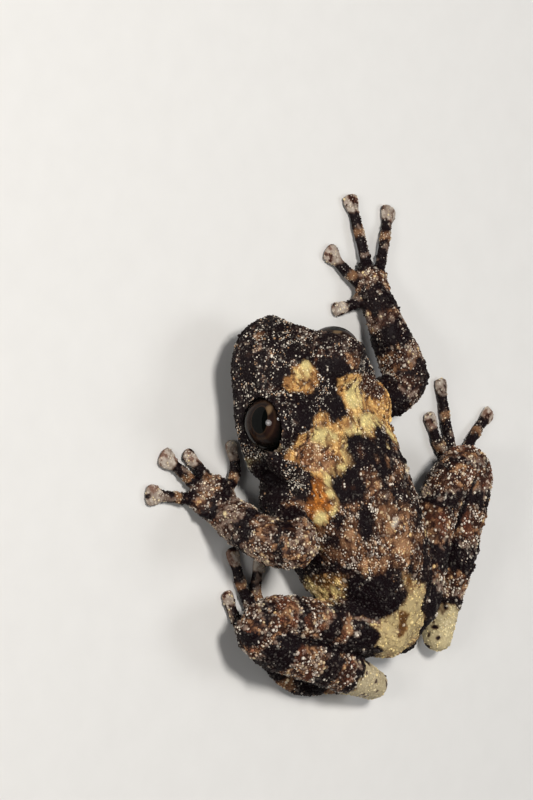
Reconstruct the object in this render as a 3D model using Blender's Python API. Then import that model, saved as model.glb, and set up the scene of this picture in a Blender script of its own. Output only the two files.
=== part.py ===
"""A small warty tree frog at rest on the floor.

Shapes are laid out in millimetres, x to the frog's right, y forward and z up from the floor.
The last step turns the frog to face -Y, brings it to metres and centres it over the origin.
"""
import math

import bmesh
import bpy
import numpy as np
from mathutils import Matrix, Quaternion, Vector
from mathutils.bvhtree import BVHTree

MM = 0.001
GAP = 0.3
BASE_VOXEL = 0.2
BASE_SMOOTHING = 7
VOXEL = 0.15
SMOOTHING = 2
FLOOR_WALL = 3.0
# Triangles left in each kind of piece
FACES = {"head": 4400, "torso": 1200, "upper_arm": 330, "forearm": 430, "hand": 430, "thigh": 480,
         "shank": 560, "tarsus": 300, "foot": 400, "finger": 260, "toe": 205}
LEAST_PIECE = 0.05

# Head, in its own axes from the middle of the neck
NECK = (0.53, 18.9, 4.7)
HEAD_TURN = (-1.0, -2.0, 7.3)
EYE_RADIUS = 2.2
EYE_AT = (4.25, 4.95, 1.3)
EYE_AXIS = (0.87, 0.48, 0.15)
LID_RADIUS = 2.98
LID_INSET = 0.75
LID_RIM = 2.3
LID_RIM_FORWARD = 1.22
LID_RIM_THICK = 0.24
EAR_AT = (5.2, 1.2, 0.1)
EAR_RADIUS = 1.15
NOSTRIL_AT = (1.7, 10.1, 0.5)
HEAD_POWER = 2.2
HEAD_WAIST = 0.3
# Forward place, half width, top, underside
HEAD_ROWS = [(-3.0, 5.6, 2.7, -2.9), (-0.5, 6.0, 2.9, -2.85), (1.5, 6.35, 3.05, -2.8),
             (3.5, 6.2, 3.1, -2.75), (5.5, 5.45, 2.95, -2.65), (7.2, 4.25, 2.4, -2.45),
             (8.6, 3.45, 2.0, -2.2), (9.6, 2.85, 1.55, -1.95), (10.3, 2.15, 0.95, -1.55)]
# Forward place and height of the mouth's line in the head's own axes
MOUTH = ((1.3, -1.8), (2.6, -1.72), (4.2, -1.64), (5.6, -1.54), (7.0, -1.45), (8.2, -1.37), (9.2, -1.3),
         (9.9, -1.25))
# Forward place, height and thickness of the fold from eye to shoulder
FOLD = ((2.9, 1.9, 0.2), (2.1, 1.85, 0.3), (1.1, 1.7, 0.33), (0.1, 1.35, 0.33), (-0.7, 0.6, 0.3),
        (-1.1, -0.4, 0.2))
TORSO_MIDDLE = 0.53
TORSO_POWER = 2.6
TORSO_WAIST = 0.38
# Forward place, half width, top, underside
TORSO_ROWS = [(-1.4, 0.9, 4.6, 2.8), (0.2, 2.8, 5.8, 2.0), (3.2, 4.4, 7.2, 1.2), (7.2, 5.6, 8.1, 0.65),
              (11.2, 6.15, 8.3, 0.6), (15.2, 6.4, 8.1, 1.1), (17.6, 6.3, 7.75, 1.7), (20.2, 5.5, 7.2, 2.2),
              (22.0, 4.6, 6.6, 2.6)]

# Limbs, each row a place and the half width and half height there
ARMS = {
    "right": [(3.6, 17.4, 3.1, 1.9, 1.8), (5.8, 17.3, 3.05, 1.72, 1.7), (9.2, 16.9, 3.05, 1.6, 1.55),
              (11.7, 16.7, 3.15, 1.7, 1.65), (12.8, 17.3, 3.1, 1.9, 1.8), (13.2, 18.6, 2.85, 1.85, 1.75),
              (14.1, 20.6, 2.3, 1.6, 1.55), (14.7, 22.3, 1.75, 1.5, 1.35), (15.05, 23.3, 1.4, 1.7, 1.2),
              (15.6, 24.3, 1.1, 2.15, 1.0), (16.2, 25.0, 0.9, 1.9, 0.7)],
    "left": [(-3.4, 17.3, 2.8, 1.8, 1.8), (-5.0, 16.5, 3.6, 1.7, 1.7), (-7.0, 15.2, 5.6, 1.65, 1.65),
             (-8.2, 14.6, 6.75, 1.8, 1.8), (-8.9, 14.95, 6.6, 1.85, 1.85), (-9.35, 15.6, 5.7, 1.8, 1.8),
             (-9.55, 16.5, 4.3, 1.7, 1.7), (-9.45, 17.6, 2.8, 1.6, 1.6), (-9.3, 18.6, 1.75, 1.6, 1.35),
             (-9.4, 19.8, 1.2, 1.95, 1.0), (-9.5, 20.6, 0.9, 1.7, 0.66)],
}
LEGS = {
    "right": [(2.2, 1.4, 4.5, 2.2, 2.1), (6.0, 4.2, 4.5, 2.0, 1.95), (9.2, 6.2, 4.2, 1.85, 1.85),
              (12.4, 7.2, 4.0, 1.75, 1.75), (14.2, 7.3, 3.9, 1.8, 1.75), (14.95, 6.4, 3.8, 1.95, 1.8),
              (13.4, 4.9, 3.75, 2.1, 1.9), (11.6, 3.1, 3.6, 2.05, 1.8), (9.9, 0.8, 3.2, 1.8, 1.55),
              (7.7, -1.9, 2.5, 1.4, 1.35), (5.75, -4.4, 1.85, 1.25, 1.3)],
    "left": [(-1.2, 1.4, 4.5, 2.2, 2.1), (-5.15, 4.65, 4.6, 2.0, 1.95), (-8.97, 7.87, 4.4, 1.8, 1.8),
             (-11.9, 9.8, 4.1, 1.7, 1.7), (-13.2, 9.8, 3.95, 1.6, 1.6), (-12.8, 8.5, 3.9, 1.65, 1.65),
             (-10.6, 5.8, 3.75, 1.75, 1.75), (-8.1, 3.2, 3.6, 1.8, 1.7), (-5.0, -0.4, 3.0, 1.6, 1.5),
             (-2.85, -2.8, 2.1, 1.3, 1.35)],
}
FEET = {
    "right": [(6.2, -3.9, 1.25, 1.1, 1.0), (8.8, -1.8, 0.85, 1.15, 0.68), (12.9, 0.8, 0.8, 1.1, 0.62),
              (14.6, 2.9, 0.72, 1.3, 0.6), (15.9, 4.9, 0.68, 1.55, 0.56), (16.7, 6.4, 0.62, 1.35, 0.5)],
    "left": [(-3.1, -2.4, 1.3, 1.1, 1.0), (-5.8, -0.4, 0.85, 1.15, 0.68), (-9.3, 2.2, 0.8, 1.1, 0.62),
             (-10.0, 4.6, 0.72, 1.3, 0.6), (-10.1, 6.8, 0.68, 1.55, 0.56), (-10.1, 8.2, 0.62, 1.35, 0.5)],
}
# Digits from the root to the middle of the pad
DIGITS = {
    "finger_1_right": [(14.6, 23.8, 0.95), (13.0, 23.75, 0.75), (11.67, 24.17, 0.33)],
    "finger_2_right": [(14.6, 24.7, 0.85), (13.9, 26.6, 0.65), (13.5, 28.4, 0.33)],
    "finger_3_right": [(16.0, 24.9, 0.8), (16.9, 27.7, 0.65), (17.9, 30.8, 0.33)],
    "finger_4_right": [(17.0, 24.2, 0.8), (19.3, 26.1, 0.65), (21.4, 27.75, 0.33)],
    "finger_1_left": [(-8.6, 19.2, 0.95), (-6.3, 19.15, 0.78), (-5.25, 19.95, 0.6), (-4.6, 21.3, 0.33)],
    "finger_2_left": [(-8.8, 20.4, 0.85), (-8.7, 21.9, 0.62), (-8.95, 23.2, 0.33)],
    "finger_3_left": [(-9.75, 20.6, 0.85), (-10.4, 22.6, 0.62), (-11.1, 24.4, 0.33)],
    "finger_4_left": [(-10.4, 20.0, 0.85), (-12.2, 21.5, 0.62), (-13.92, 22.8, 0.33)],
    "toe_1_right": [(14.9, 3.7, 0.6), (14.0, 4.3, 0.5), (13.1, 4.5, 0.33)],
    "toe_2_right": [(15.4, 5.2, 0.6), (14.6, 6.0, 0.5), (13.9, 6.3, 0.33)],
    "toe_3_right": [(16.2, 6.2, 0.6), (16.0, 8.9, 0.55), (16.5, 10.66, 0.33)],
    "toe_4_right": [(16.9, 6.3, 0.6), (18.0, 10.0, 0.55), (19.2, 12.3, 0.33)],
    "toe_5_right": [(17.2, 5.6, 0.6), (20.3, 6.6, 0.55), (23.0, 6.95, 0.33)],
    "toe_1_left": [(-9.3, 5.4, 0.6), (-8.0, 5.7, 0.5), (-7.0, 5.8, 0.33)],
    "toe_2_left": [(-9.2, 7.0, 0.6), (-7.9, 8.0, 0.5), (-7.1, 8.2, 0.33)],
    "toe_3_left": [(-9.3, 7.9, 0.6), (-8.5, 10.6, 0.55), (-6.9, 11.8, 0.33)],
    "toe_4_left": [(-10.0, 8.4, 0.6), (-9.75, 11.6, 0.55), (-9.0, 14.1, 0.33)],
    "toe_5_left": [(-10.9, 7.6, 0.6), (-11.7, 9.7, 0.55), (-11.3, 11.55, 0.33)],
}
SHAFT = 0.48
PAD_WIDTH = {"finger": 1.02, "toe": 0.86, "small": 0.74}
SMALL_PADS = ("finger_1_left", "finger_1_right", "finger_2_left", "toe_1_left", "toe_1_right", "toe_2_left",
              "toe_2_right", "toe_5_left")
PAD_HEIGHT = 0.37
ROOT_CUT = 1.15

# Clear cuts between the pieces
NECK_BACK = 0.75
NECK_HALF = 6.62
FLANK_ROWS = (-2.2, -0.6, 0.8, 3.2, 6.0, 9.0, 12.0, 15.0, 17.2, 18.6, 20.2)
FLANK_OUT = 0.22
SHOULDER_HALF = 6.35
# Each limb cut's middle, the way it runs, the way it reaches across, half length and reach
LIMB_CUTS = (
    ((12.3, 16.75, 2.5), (0.62, -0.78, 0), (0, 0, 1), 3.2, 3.6),
    ((14.85, 22.9, 1.5), (0.98, -0.2, 0), (0, 0, 1), 2.3, 2.6),
    ((-9.35, 18.35, 1.9), (1, 0.0, 0), (0, 0.35, 1), 2.1, 2.6),
)
# Left elbow, shoulder and wrist
BENT_ARM = ((-8.55, 14.75, 6.75), (-5.0, 16.5, 3.6), (-9.45, 17.6, 2.8))
# The line between thigh and shank on each folded leg
KNEE_LINES = (
    ((17.4, 8.5, 0), (14.6, 6.95, 0), (12.2, 5.55, 0), (9.9, 3.9, 0), (7.4, 1.9, 0), (5.2, -0.5, 0)),
    ((-15.4, 10.6, 0), (-13.2, 9.1, 0), (-11.6, 7.9, 0), (-10.1, 6.8, 0), (-7.6, 4.6, 0), (-5.1, 2.0, 0),
     (-3.2, -0.4, 0)),
)
KNEE_LOW = 1.72
# The step between shank and tarsus: distance from the heel and height
HEEL_STEPS = ((11, 1.63), (2.6, 1.6), (1.5, 1.2), (1.3, -1.0))

SKIN = (0.09, 0.06, 0.055)
PALE = (0.55, 0.45, 0.33)
EYE = (0.05, 0.025, 0.02)
SKIN_ROUGHNESS = 0.6
EYE_ROUGHNESS = 0.1


def clear_scene():
    for thing in list(bpy.data.objects):
        bpy.data.objects.remove(thing, do_unlink=True)


def new_object(name, mesh):
    made = bpy.data.objects.new(name, mesh)
    bpy.context.scene.collection.objects.link(made)
    return made


def along(rows, count):
    """Rows of numbers along a line, filled in smoothly to the given count."""
    a = np.array(rows, float)
    step = np.linalg.norm(np.diff(a[:, :3], axis=0), axis=1)
    t = np.concatenate([[0.0], np.cumsum(step)])
    slope = np.gradient(a, t, axis=0)
    s = np.linspace(0.0, t[-1], count)
    i = np.clip(np.searchsorted(t, s, side="right") - 1, 0, len(a) - 2)
    h = (t[i + 1] - t[i])[:, None]
    u = (s - t[i])[:, None] / h
    return (a[i] * (2 * u**3 - 3 * u**2 + 1) + slope[i] * h * (u**3 - 2 * u**2 + u)
            + a[i + 1] * (3 * u**2 - 2 * u**3) + slope[i + 1] * h * (u**3 - u**2))


def skin_rings(name, rings, front, back):
    """A closed mesh over a row of rings, closed by a point at each end."""
    bm = bmesh.new()
    made = [[bm.verts.new(p) for p in ring] for ring in rings]
    n = len(made[0])
    for a, b in zip(made, made[1:]):
        for k in range(n):
            bm.faces.new((a[k], a[(k + 1) % n], b[(k + 1) % n], b[k]))
    for ring, tip in ((made[0], back), (made[-1], front)):
        pole = bm.verts.new(tip)
        for k in range(n):
            bm.faces.new((ring[k], ring[(k + 1) % n], pole))
    bmesh.ops.recalc_face_normals(bm, faces=bm.faces)
    mesh = bpy.data.meshes.new(name)
    bm.to_mesh(mesh)
    bm.free()
    return new_object(name, mesh)


def tube(name, rows, around=20, blunt=0.8):
    """A limb: oval rings along a line, with rounded ends."""
    rows = np.array(rows, float)
    p = rows[:, :3]
    t = np.gradient(p, axis=0)
    t /= np.linalg.norm(t, axis=1)[:, None]
    ends = []
    for e, sign in ((0, -1.0), (-1, 1.0)):
        cap = []
        reach = blunt * min(rows[e, 3], rows[e, 4])
        for a in (0.5, 0.95, 1.3):
            cap.append((p[e] + sign * t[e] * reach * math.sin(a), t[e],
                        rows[e, 3] * math.cos(a), rows[e, 4] * math.cos(a)))
        ends.append((cap, p[e] + sign * t[e] * reach))
    middle = [(p[i], t[i], rows[i, 3], rows[i, 4]) for i in range(len(p))]
    rings = []
    up = np.array([0.0, 0.0, 1.0])
    for c, d, w, h in ends[0][0][::-1] + middle + ends[1][0]:
        side = np.cross(d, up)
        if np.linalg.norm(side) < 0.05:
            side = np.array([1.0, 0.0, 0.0])
        side /= np.linalg.norm(side)
        lift = np.cross(side, d)
        angle = np.linspace(0, 2 * math.pi, around, endpoint=False)
        rings.append([c + side * w * math.cos(a) + lift * h * math.sin(a) for a in angle])
    return skin_rings(name, rings, ends[1][1], ends[0][1])


def oval_ring(y, middle, half, top, under, power, waist, around):
    """A rounded ring across the body, widest at the waist share of its height and squarer below."""
    z0 = under + (top - under) * waist
    ring = []
    for a in np.linspace(0, 2 * math.pi, around, endpoint=False):
        c, s = math.cos(a), math.sin(a)
        k = power if s > 0 else power + 0.5
        x = math.copysign(abs(c) ** (2 / k), c) * half
        z = math.copysign(abs(s) ** (2 / k), s) * ((top - z0) if s > 0 else (z0 - under))
        ring.append((middle + x, y, z0 + z))
    return ring


def trunk(name, table, middle, power, waist, around=40, count=26):
    rows = along([(r[0], 0, 0, r[1], r[2], r[3]) for r in table], count)
    rings = [oval_ring(r[0], middle, r[3], r[4], r[5], power, waist, around) for r in rows]
    first, last = rows[0], rows[-1]
    back = (middle, first[0] - 0.45, (first[4] + first[5]) / 2)
    front = (middle, last[0] + 0.35, (last[4] + last[5]) / 2)
    return skin_rings(name, rings, front, back)


def ball(name, centre, radii, segments=32, rings=18):
    bm = bmesh.new()
    bmesh.ops.create_uvsphere(bm, u_segments=segments, v_segments=rings, radius=1.0)
    bmesh.ops.scale(bm, vec=Vector(radii), verts=bm.verts)
    bmesh.ops.translate(bm, vec=Vector(centre), verts=bm.verts)
    mesh = bpy.data.meshes.new(name)
    bm.to_mesh(mesh)
    bm.free()
    return new_object(name, mesh)


def head_matrix():
    turn = Vector([math.radians(v) for v in HEAD_TURN])
    return Matrix.Translation(Vector(NECK)) @ Quaternion(turn.normalized(), turn.length).to_matrix().to_4x4()


def head_half(y, z):
    """Half width of the head at a place along it and a height on it."""
    table = np.array(HEAD_ROWS)
    half, top, under = (np.interp(y, table[:, 0], table[:, k]) for k in (1, 2, 3))
    z0 = under + (top - under) * HEAD_WAIST
    room, power = ((top - z0), HEAD_POWER) if z > z0 else ((z0 - under), HEAD_POWER + 0.5)
    return half * max(0.0, 1 - (abs(z - z0) / room) ** power) ** (1 / power)


def lip_line(lift, out):
    """Points along the line of the mouth from one corner round the snout to the other."""
    side = []
    for y, z in MOUTH:
        side.append((head_half(y, z + lift) + out, y, z + lift))
    back = 0.55 * min(0.0, lift)
    side.append((1.35, 10.28 + out + back, -1.2 + lift))
    left = [(-x, y, z) for x, y, z in side]
    return side + [(0.0, 10.52 + out + back, -1.18 + lift)] + left[::-1]


def eye_point(side, out=0.0):
    """The middle of one eye, or a point moved out along the way it looks."""
    axis = Vector(EYE_AXIS).normalized() * out
    return (side * (EYE_AT[0] + axis.x), EYE_AT[1] + axis.y, EYE_AT[2] + axis.z)


def head_pieces():
    """The head with its brows and the mounds over the eyes, in the head's own axes."""
    made = [trunk("head", HEAD_ROWS, 0.0, HEAD_POWER, HEAD_WAIST)]
    for side in (-1, 1):
        made.append(ball("lid", eye_point(side, -LID_INSET), (LID_RADIUS, LID_RADIUS, LID_RADIUS * 0.97)))
        brow = [(side * 3.3, 6.9, 1.3, 0.9, 0.7), (side * 2.5, 8.2, 1.05, 0.85, 0.6),
                (side * 1.8, 9.4, 0.7, 0.7, 0.5)]
        made.append(tube("brow", along(brow, 8)))
    return made


def eye_ring(side, forward, radius, thick):
    """Points round the eye's own axis, thicker above than below."""
    axis = Vector((side * EYE_AXIS[0], EYE_AXIS[1], EYE_AXIS[2])).normalized()
    across = Vector((0, 0, 1)).cross(axis).normalized()
    up = axis.cross(across)
    middle = Vector(eye_point(side)) + axis * forward
    ring = []
    for a in np.linspace(0, 2 * math.pi, 33):
        p = middle + across * radius * math.cos(a) + up * radius * math.sin(a)
        w = thick * (1.0 + 0.2 * math.sin(a))
        ring.append((*p, w, w))
    return ring


def face_trim():
    """Eyelids, folds, lips and the rims of ears and nostrils, in the head's own axes."""
    made = []
    for side in (-1, 1):
        made.append(tube("lid_rim", eye_ring(side, LID_RIM_FORWARD, LID_RIM, LID_RIM_THICK), around=12))
        fold = []
        for y, z, w in FOLD:
            fold.append((side * (head_half(y, z) - 0.02), y, z, w, w))
        made.append(tube("fold", along(fold, 16), around=12))
        ring = []
        for a in np.linspace(0, 2 * math.pi, 25):
            y = EAR_AT[1] + EAR_RADIUS * math.cos(a)
            z = EAR_AT[2] + EAR_RADIUS * math.sin(a)
            ring.append((side * (head_half(y, z) + 0.04), y, z, 0.2, 0.2))
        made.append(tube("ear_rim", ring, around=8))
        nx, ny, nz = NOSTRIL_AT
        made.append(ball("nostril_rim", (side * (nx - 0.05), ny - 0.1, nz), (0.45, 0.42, 0.4), 16, 10))
    lip = [(x, y, z, 0.26, 0.26) for x, y, z in lip_line(0.42, -0.02)]
    made.append(tube("upper_lip", along(lip, 46), around=10))
    lip = [(x, y, z, 0.24, 0.22) for x, y, z in lip_line(-0.34, -0.14)]
    made.append(tube("lower_lip", along(lip, 46), around=10))
    return made


def digit_rows(points, pad):
    """Rows along a digit: a slim shaft, then a wide pad with a blunt end."""
    rows = along([p + (0.0, 0.0) for p in points], 24)[:, :3]
    left = np.linalg.norm(np.diff(rows, axis=0), axis=1)
    rest = np.concatenate([np.cumsum(left[::-1])[::-1], [0.0]])
    made = []
    for p, r in zip(rows, rest):
        k = min(1.0, max(0.0, (1.25 - r) / 1.0))
        k = k * k * (3 - 2 * k)
        more = 0.05 * math.exp(-((r - 2.2) / 0.45) ** 2) + 0.09 * r / rest[0]
        wide = SHAFT * 0.95 + more + (pad - SHAFT) * k
        high = SHAFT * 0.9 + more + (PAD_HEIGHT - SHAFT) * k
        made.append((*p, wide, high))
    d = rows[-1] - rows[-2]
    d /= np.linalg.norm(d)
    d[2] = 0.0
    made.append((*(rows[-1] + d * 0.3), pad * 0.97, PAD_HEIGHT * 0.97))
    return made


def flesh_pieces():
    """Every soft piece of the frog as closed, overlapping solids."""
    made = []
    placed = head_matrix()
    for piece in head_pieces():
        piece.data.transform(placed)
        made.append(piece)
    made.append(trunk("torso", TORSO_ROWS, TORSO_MIDDLE, TORSO_POWER, TORSO_WAIST))
    for table in (ARMS, LEGS, FEET):
        for rows in table.values():
            made.append(tube("limb", along(rows, 12 * len(rows) // 2)))
    for name, points in DIGITS.items():
        pad = PAD_WIDTH["small" if name in SMALL_PADS else name.split("_")[0]]
        made.append(tube("digit", digit_rows(points, pad), around=16, blunt=0.9))
    return made


def one_body():
    """All the soft pieces grown into one skin, first the large forms and then the trim of the face."""
    body = join("body", flesh_pieces())
    remesh(body, BASE_VOXEL, BASE_SMOOTHING)
    trim = face_trim()
    placed = head_matrix()
    for piece in trim:
        piece.data.transform(placed)
    body = join("body", [body] + trim)
    remesh(body, VOXEL, SMOOTHING)
    return body


def join(name, pieces):
    bm = bmesh.new()
    for piece in pieces:
        bm.from_mesh(piece.data)
        bpy.data.objects.remove(piece, do_unlink=True)
    mesh = bpy.data.meshes.new(name)
    bm.to_mesh(mesh)
    bm.free()
    return new_object(name, mesh)


def settle(thing):
    """Gives the object the mesh that its modifiers make, and removes them."""
    graph = bpy.context.evaluated_depsgraph_get()
    graph.update()
    mesh = bpy.data.meshes.new_from_object(thing.evaluated_get(graph))
    thing.modifiers.clear()
    thing.data = mesh


def remesh(thing, size, smoothing):
    grid = thing.modifiers.new("one_skin", "REMESH")
    grid.mode = "VOXEL"
    grid.voxel_size = size
    soft = thing.modifiers.new("soft", "SMOOTH")
    soft.factor = 0.5
    soft.iterations = smoothing
    settle(thing)


def thin_out(thing, count):
    thing.data.calc_loop_triangles()
    fewer = thing.modifiers.new("fewer", "DECIMATE")
    fewer.ratio = count / len(thing.data.loop_triangles)
    fewer.use_collapse_triangulate = True
    settle(thing)


def cut(thing, cutter):
    cutter.hide_render = True
    cutter.display_type = "WIRE"
    knife = thing.modifiers.new("cut", "BOOLEAN")
    knife.operation = "DIFFERENCE"
    knife.solver = "MANIFOLD"
    knife.object = cutter
    settle(thing)
    bpy.data.objects.remove(cutter, do_unlink=True)


def fence(path, across, low=-1.0, high=1.0, thick=GAP):
    """A thin wall along a path, reaching from low to high along the across direction."""
    p = [Vector(q) for q in path]
    across = Vector(across).normalized()
    bm = bmesh.new()
    rings = []
    for i, q in enumerate(p):
        before = (q - p[i - 1]).normalized() if i else None
        after = (p[i + 1] - q).normalized() if i < len(p) - 1 else None
        one = before if before is not None else after
        two = after if after is not None else before
        normal = (one.cross(across).normalized() + two.cross(across).normalized()).normalized()
        spread = thick / 2 / max(0.6, normal.dot(one.cross(across).normalized()))
        ring = []
        for s, e in ((-1, low), (1, low), (1, high), (-1, high)):
            ring.append(bm.verts.new(q + normal * spread * s + across * e))
        rings.append(ring)
    for a, b in zip(rings, rings[1:]):
        for k in range(4):
            bm.faces.new((a[k], a[(k + 1) % 4], b[(k + 1) % 4], b[k]))
    bm.faces.new(rings[0])
    bm.faces.new(rings[-1])
    bmesh.ops.recalc_face_normals(bm, faces=bm.faces)
    mesh = bpy.data.meshes.new("fence")
    bm.to_mesh(mesh)
    bm.free()
    return new_object("fence", mesh)


def root_walls(names, low, high):
    """A wall crossing each of the named digits near its root, and a short wall between each pair."""
    points, ways = [], []
    for name in names:
        a, b = Vector(DIGITS[name][0]), Vector(DIGITS[name][1])
        d = b - a
        d.z = 0
        d.normalize()
        points.append(Vector((a.x, a.y, 0)) + d * ROOT_CUT)
        ways.append(d)
    path = [points[0] - Vector((ways[0].y, -ways[0].x, 0)) * 1.3]
    walls = []
    for i, at in enumerate(points):
        path.append(at)
        if i < len(points) - 1:
            between = (ways[i] + ways[i + 1]).normalized()
            valley = (at + points[i + 1]) / 2 - between * 0.2
            path.append(valley)
            walls.append(fence([valley, valley + between * 1.9], (0, 0, 1), low, high))
    path.append(points[-1] + Vector((ways[-1].y, -ways[-1].x, 0)) * 1.3)
    return [fence(path, (0, 0, 1), low, high)] + walls


def face_details(body):
    """Sockets, ear dishes, nostril pits and the line of the mouth, sunk into the flesh."""
    placed = head_matrix()
    tools = []
    for side in (-1, 1):
        tools.append(ball("socket", eye_point(side), (EYE_RADIUS + GAP,) * 3, 28, 16))
        x = side * (head_half(EAR_AT[1], EAR_AT[2]) + 0.75)
        dish = EAR_RADIUS * 0.82
        tools.append(ball("ear_dish", (x, EAR_AT[1], EAR_AT[2]), (1.0, dish, dish), 20, 12))
        nx, ny, nz = NOSTRIL_AT
        tools.append(ball("pit", (side * (nx + 0.12), ny + 0.3, nz + 0.12), (0.2, 0.4, 0.2), 12, 8))
    line = [(x, y, z, 0.42, 0.13) for x, y, z in lip_line(0.0, 0.08)]
    tools.append(tube("mouth_line", along(line, 44), around=8, blunt=0.5))
    for tool in tools:
        tool.data.transform(placed)
        cut(body, tool)


def flank(side):
    """The wall between the torso and the limbs of one side."""
    table = np.array(TORSO_ROWS)
    path = []
    for y in FLANK_ROWS:
        half = float(np.interp(y, table[:, 0], table[:, 1])) if y > -1.4 else 0.9 + (y + 1.4) * 0.6
        half = max(half, SHOULDER_HALF) if y > 17 else half
        path.append((TORSO_MIDDLE + side * (half + FLANK_OUT), y, 0))
    return fence(path, (0, 0, 1), 1.25, 10)


def ribbon(centre, toward, across, half, reach):
    """A flat wall through a point: it runs along one direction and reaches both ways across."""
    c, d = Vector(centre), Vector(toward).normalized()
    return fence([c - d * half, c + d * half], across, -reach, reach)


def heel_wall(side):
    """The stepped wall between the shank and the tarsus that lies under it."""
    heel = Vector((*LEGS[side][-1][:2], 0))
    ankle = Vector((*FEET[side][2][:2], 0))
    ahead = (ankle - heel).normalized()
    path = [heel + ahead * away + Vector((0, 0, height)) for away, height in HEEL_STEPS]
    return fence(path, (-ahead.y, ahead.x, 0), -2.5, 2.5)


def ankle_wall(side):
    """The wall between the tarsus and the foot."""
    heel = Vector((*LEGS[side][-1][:2], 0))
    ankle = Vector((*FEET[side][2][:2], 0))
    ahead = (ankle - heel).normalized()
    return ribbon(ankle + Vector((0, 0, 0.6)), (-ahead.y, ahead.x, 0), (0, 0, 1), 1.9, 0.98)


def bent_arm_wall():
    """The wall through the folded left elbow, between upper arm and forearm."""
    elbow, shoulder, wrist = (Vector(v) for v in BENT_ARM)
    one, two = (shoulder - elbow).normalized(), (wrist - elbow).normalized()
    inner = (one + two).normalized()
    across = (one - two).cross(inner).normalized()
    return fence([elbow - inner * 3.2, elbow + inner * 4.4], across, -2.6, 2.6)


def part_the_flesh(body):
    """Thin clear cuts that divide the frog into its named pieces."""
    depth = -FLOOR_WALL / 2
    cut(body, fence([(-30, 0, depth), (40, 0, depth)], (0, 1, 0), -20, 50, FLOOR_WALL))
    turn = math.radians(HEAD_TURN[2])
    ahead = Vector((-math.sin(turn), math.cos(turn), 0))
    side = Vector((math.cos(turn), math.sin(turn), 0))
    middle = Vector((NECK[0], NECK[1], 0)) - ahead * NECK_BACK
    cut(body, fence([middle - side * NECK_HALF, middle + side * NECK_HALF], (0, 0, 1), 0, 10))
    for s in (-1, 1):
        cut(body, flank(s))
    cut(body, ribbon(*LIMB_CUTS[0]))
    cut(body, bent_arm_wall())
    for place in LIMB_CUTS[1:]:
        cut(body, ribbon(*place))
    for line in KNEE_LINES:
        cut(body, fence(line, (0, 0, 1), KNEE_LOW, 8))
    for s in ("right", "left"):
        cut(body, heel_wall(s))
        cut(body, ankle_wall(s))
    for s in ("left", "right"):
        fingers, toes = ((1, 2, 3, 4), (1, 2, 3, 4, 5)) if s == "right" else ((4, 3, 2, 1), (5, 4, 3, 2, 1))
        walls = root_walls([f"finger_{k}_{s}" for k in fingers], -1, 2.2)
        for wall in walls + root_walls([f"toe_{k}_{s}" for k in toes], -1, 1.45):
            cut(body, wall)


def seeds():
    """A point inside each named piece."""
    middle = {"torso": (TORSO_MIDDLE, 10, 5), "head": tuple(head_matrix() @ Vector((0, 3, 0)))}
    for s in ("left", "right"):
        arm, leg, foot = ARMS[s], LEGS[s], FEET[s]
        middle["upper_arm_" + s] = arm[2][:3]
        middle["forearm_" + s] = arm[6][:3] if s == "left" else arm[5][:3]
        middle["hand_" + s] = arm[-2][:3]
        middle["thigh_" + s] = leg[2][:3]
        middle["shank_" + s] = leg[7][:3]
        middle["tarsus_" + s] = foot[1][:3]
        middle["foot_" + s] = foot[3][:3]
    for name, points in DIGITS.items():
        rows = along([p + (0.0, 0.0) for p in points], 9)
        middle[name] = tuple(rows[6][:3])
    return middle


def holds(tree, point):
    """True where the point lies inside the closed surface of the tree."""
    votes = 0
    for way in ((0.21, 0.37, 0.9), (-0.83, 0.41, 0.37), (0.11, -0.95, 0.29)):
        way = Vector(way).normalized()
        at, count = point.copy(), 0
        while True:
            hit = tree.ray_cast(at, way)[0]
            if hit is None:
                break
            count += 1
            at = hit + way * 0.0005
        votes += count % 2
    return votes >= 2


def separate(body):
    """Splits the body into its loose pieces and names each by the point that lies in it."""
    bm = bmesh.new()
    bm.from_mesh(body.data)
    bm.verts.ensure_lookup_table()
    group = {}
    pieces = []
    for v in bm.verts:
        if v.index in group:
            continue
        stack, found = [v], []
        group[v.index] = len(pieces)
        while stack:
            w = stack.pop()
            found.append(w)
            for e in w.link_edges:
                o = e.other_vert(w)
                if o.index not in group:
                    group[o.index] = len(pieces)
                    stack.append(o)
        pieces.append(found)
    solids = []
    for found in pieces:
        keep = {v.index for v in found}
        part = bmesh.new()
        table = {v.index: part.verts.new(v.co) for v in found}
        for f in bm.faces:
            if f.verts[0].index in keep:
                corners = [table[v.index] for v in f.verts]
                if part.faces.get(corners) is None:
                    part.faces.new(corners)
        bmesh.ops.triangulate(part, faces=part.faces)
        solids.append((part.calc_volume(), part))
    bm.free()
    solids.sort(key=lambda item: -item[0])
    from_seed = {}
    for size, part in solids:
        tree = BVHTree.FromBMesh(part)
        name = None
        for key, at in seeds().items():
            if key not in from_seed and holds(tree, Vector(at)):
                name = key
        if name and size > LEAST_PIECE:
            mesh = bpy.data.meshes.new(name)
            part.to_mesh(mesh)
            from_seed[name] = new_object(name, mesh)
        part.free()
    bpy.data.objects.remove(body, do_unlink=True)
    return from_seed


def paint(thing, colour, rough):
    material = bpy.data.materials.new(thing.name)
    material.use_nodes = True
    shader = material.node_tree.nodes["Principled BSDF"]
    shader.inputs["Base Color"].default_value = (*colour, 1.0)
    shader.inputs["Roughness"].default_value = rough
    thing.data.materials.clear()
    thing.data.materials.append(material)
    material.diffuse_color = (*colour, 1.0)


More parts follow.
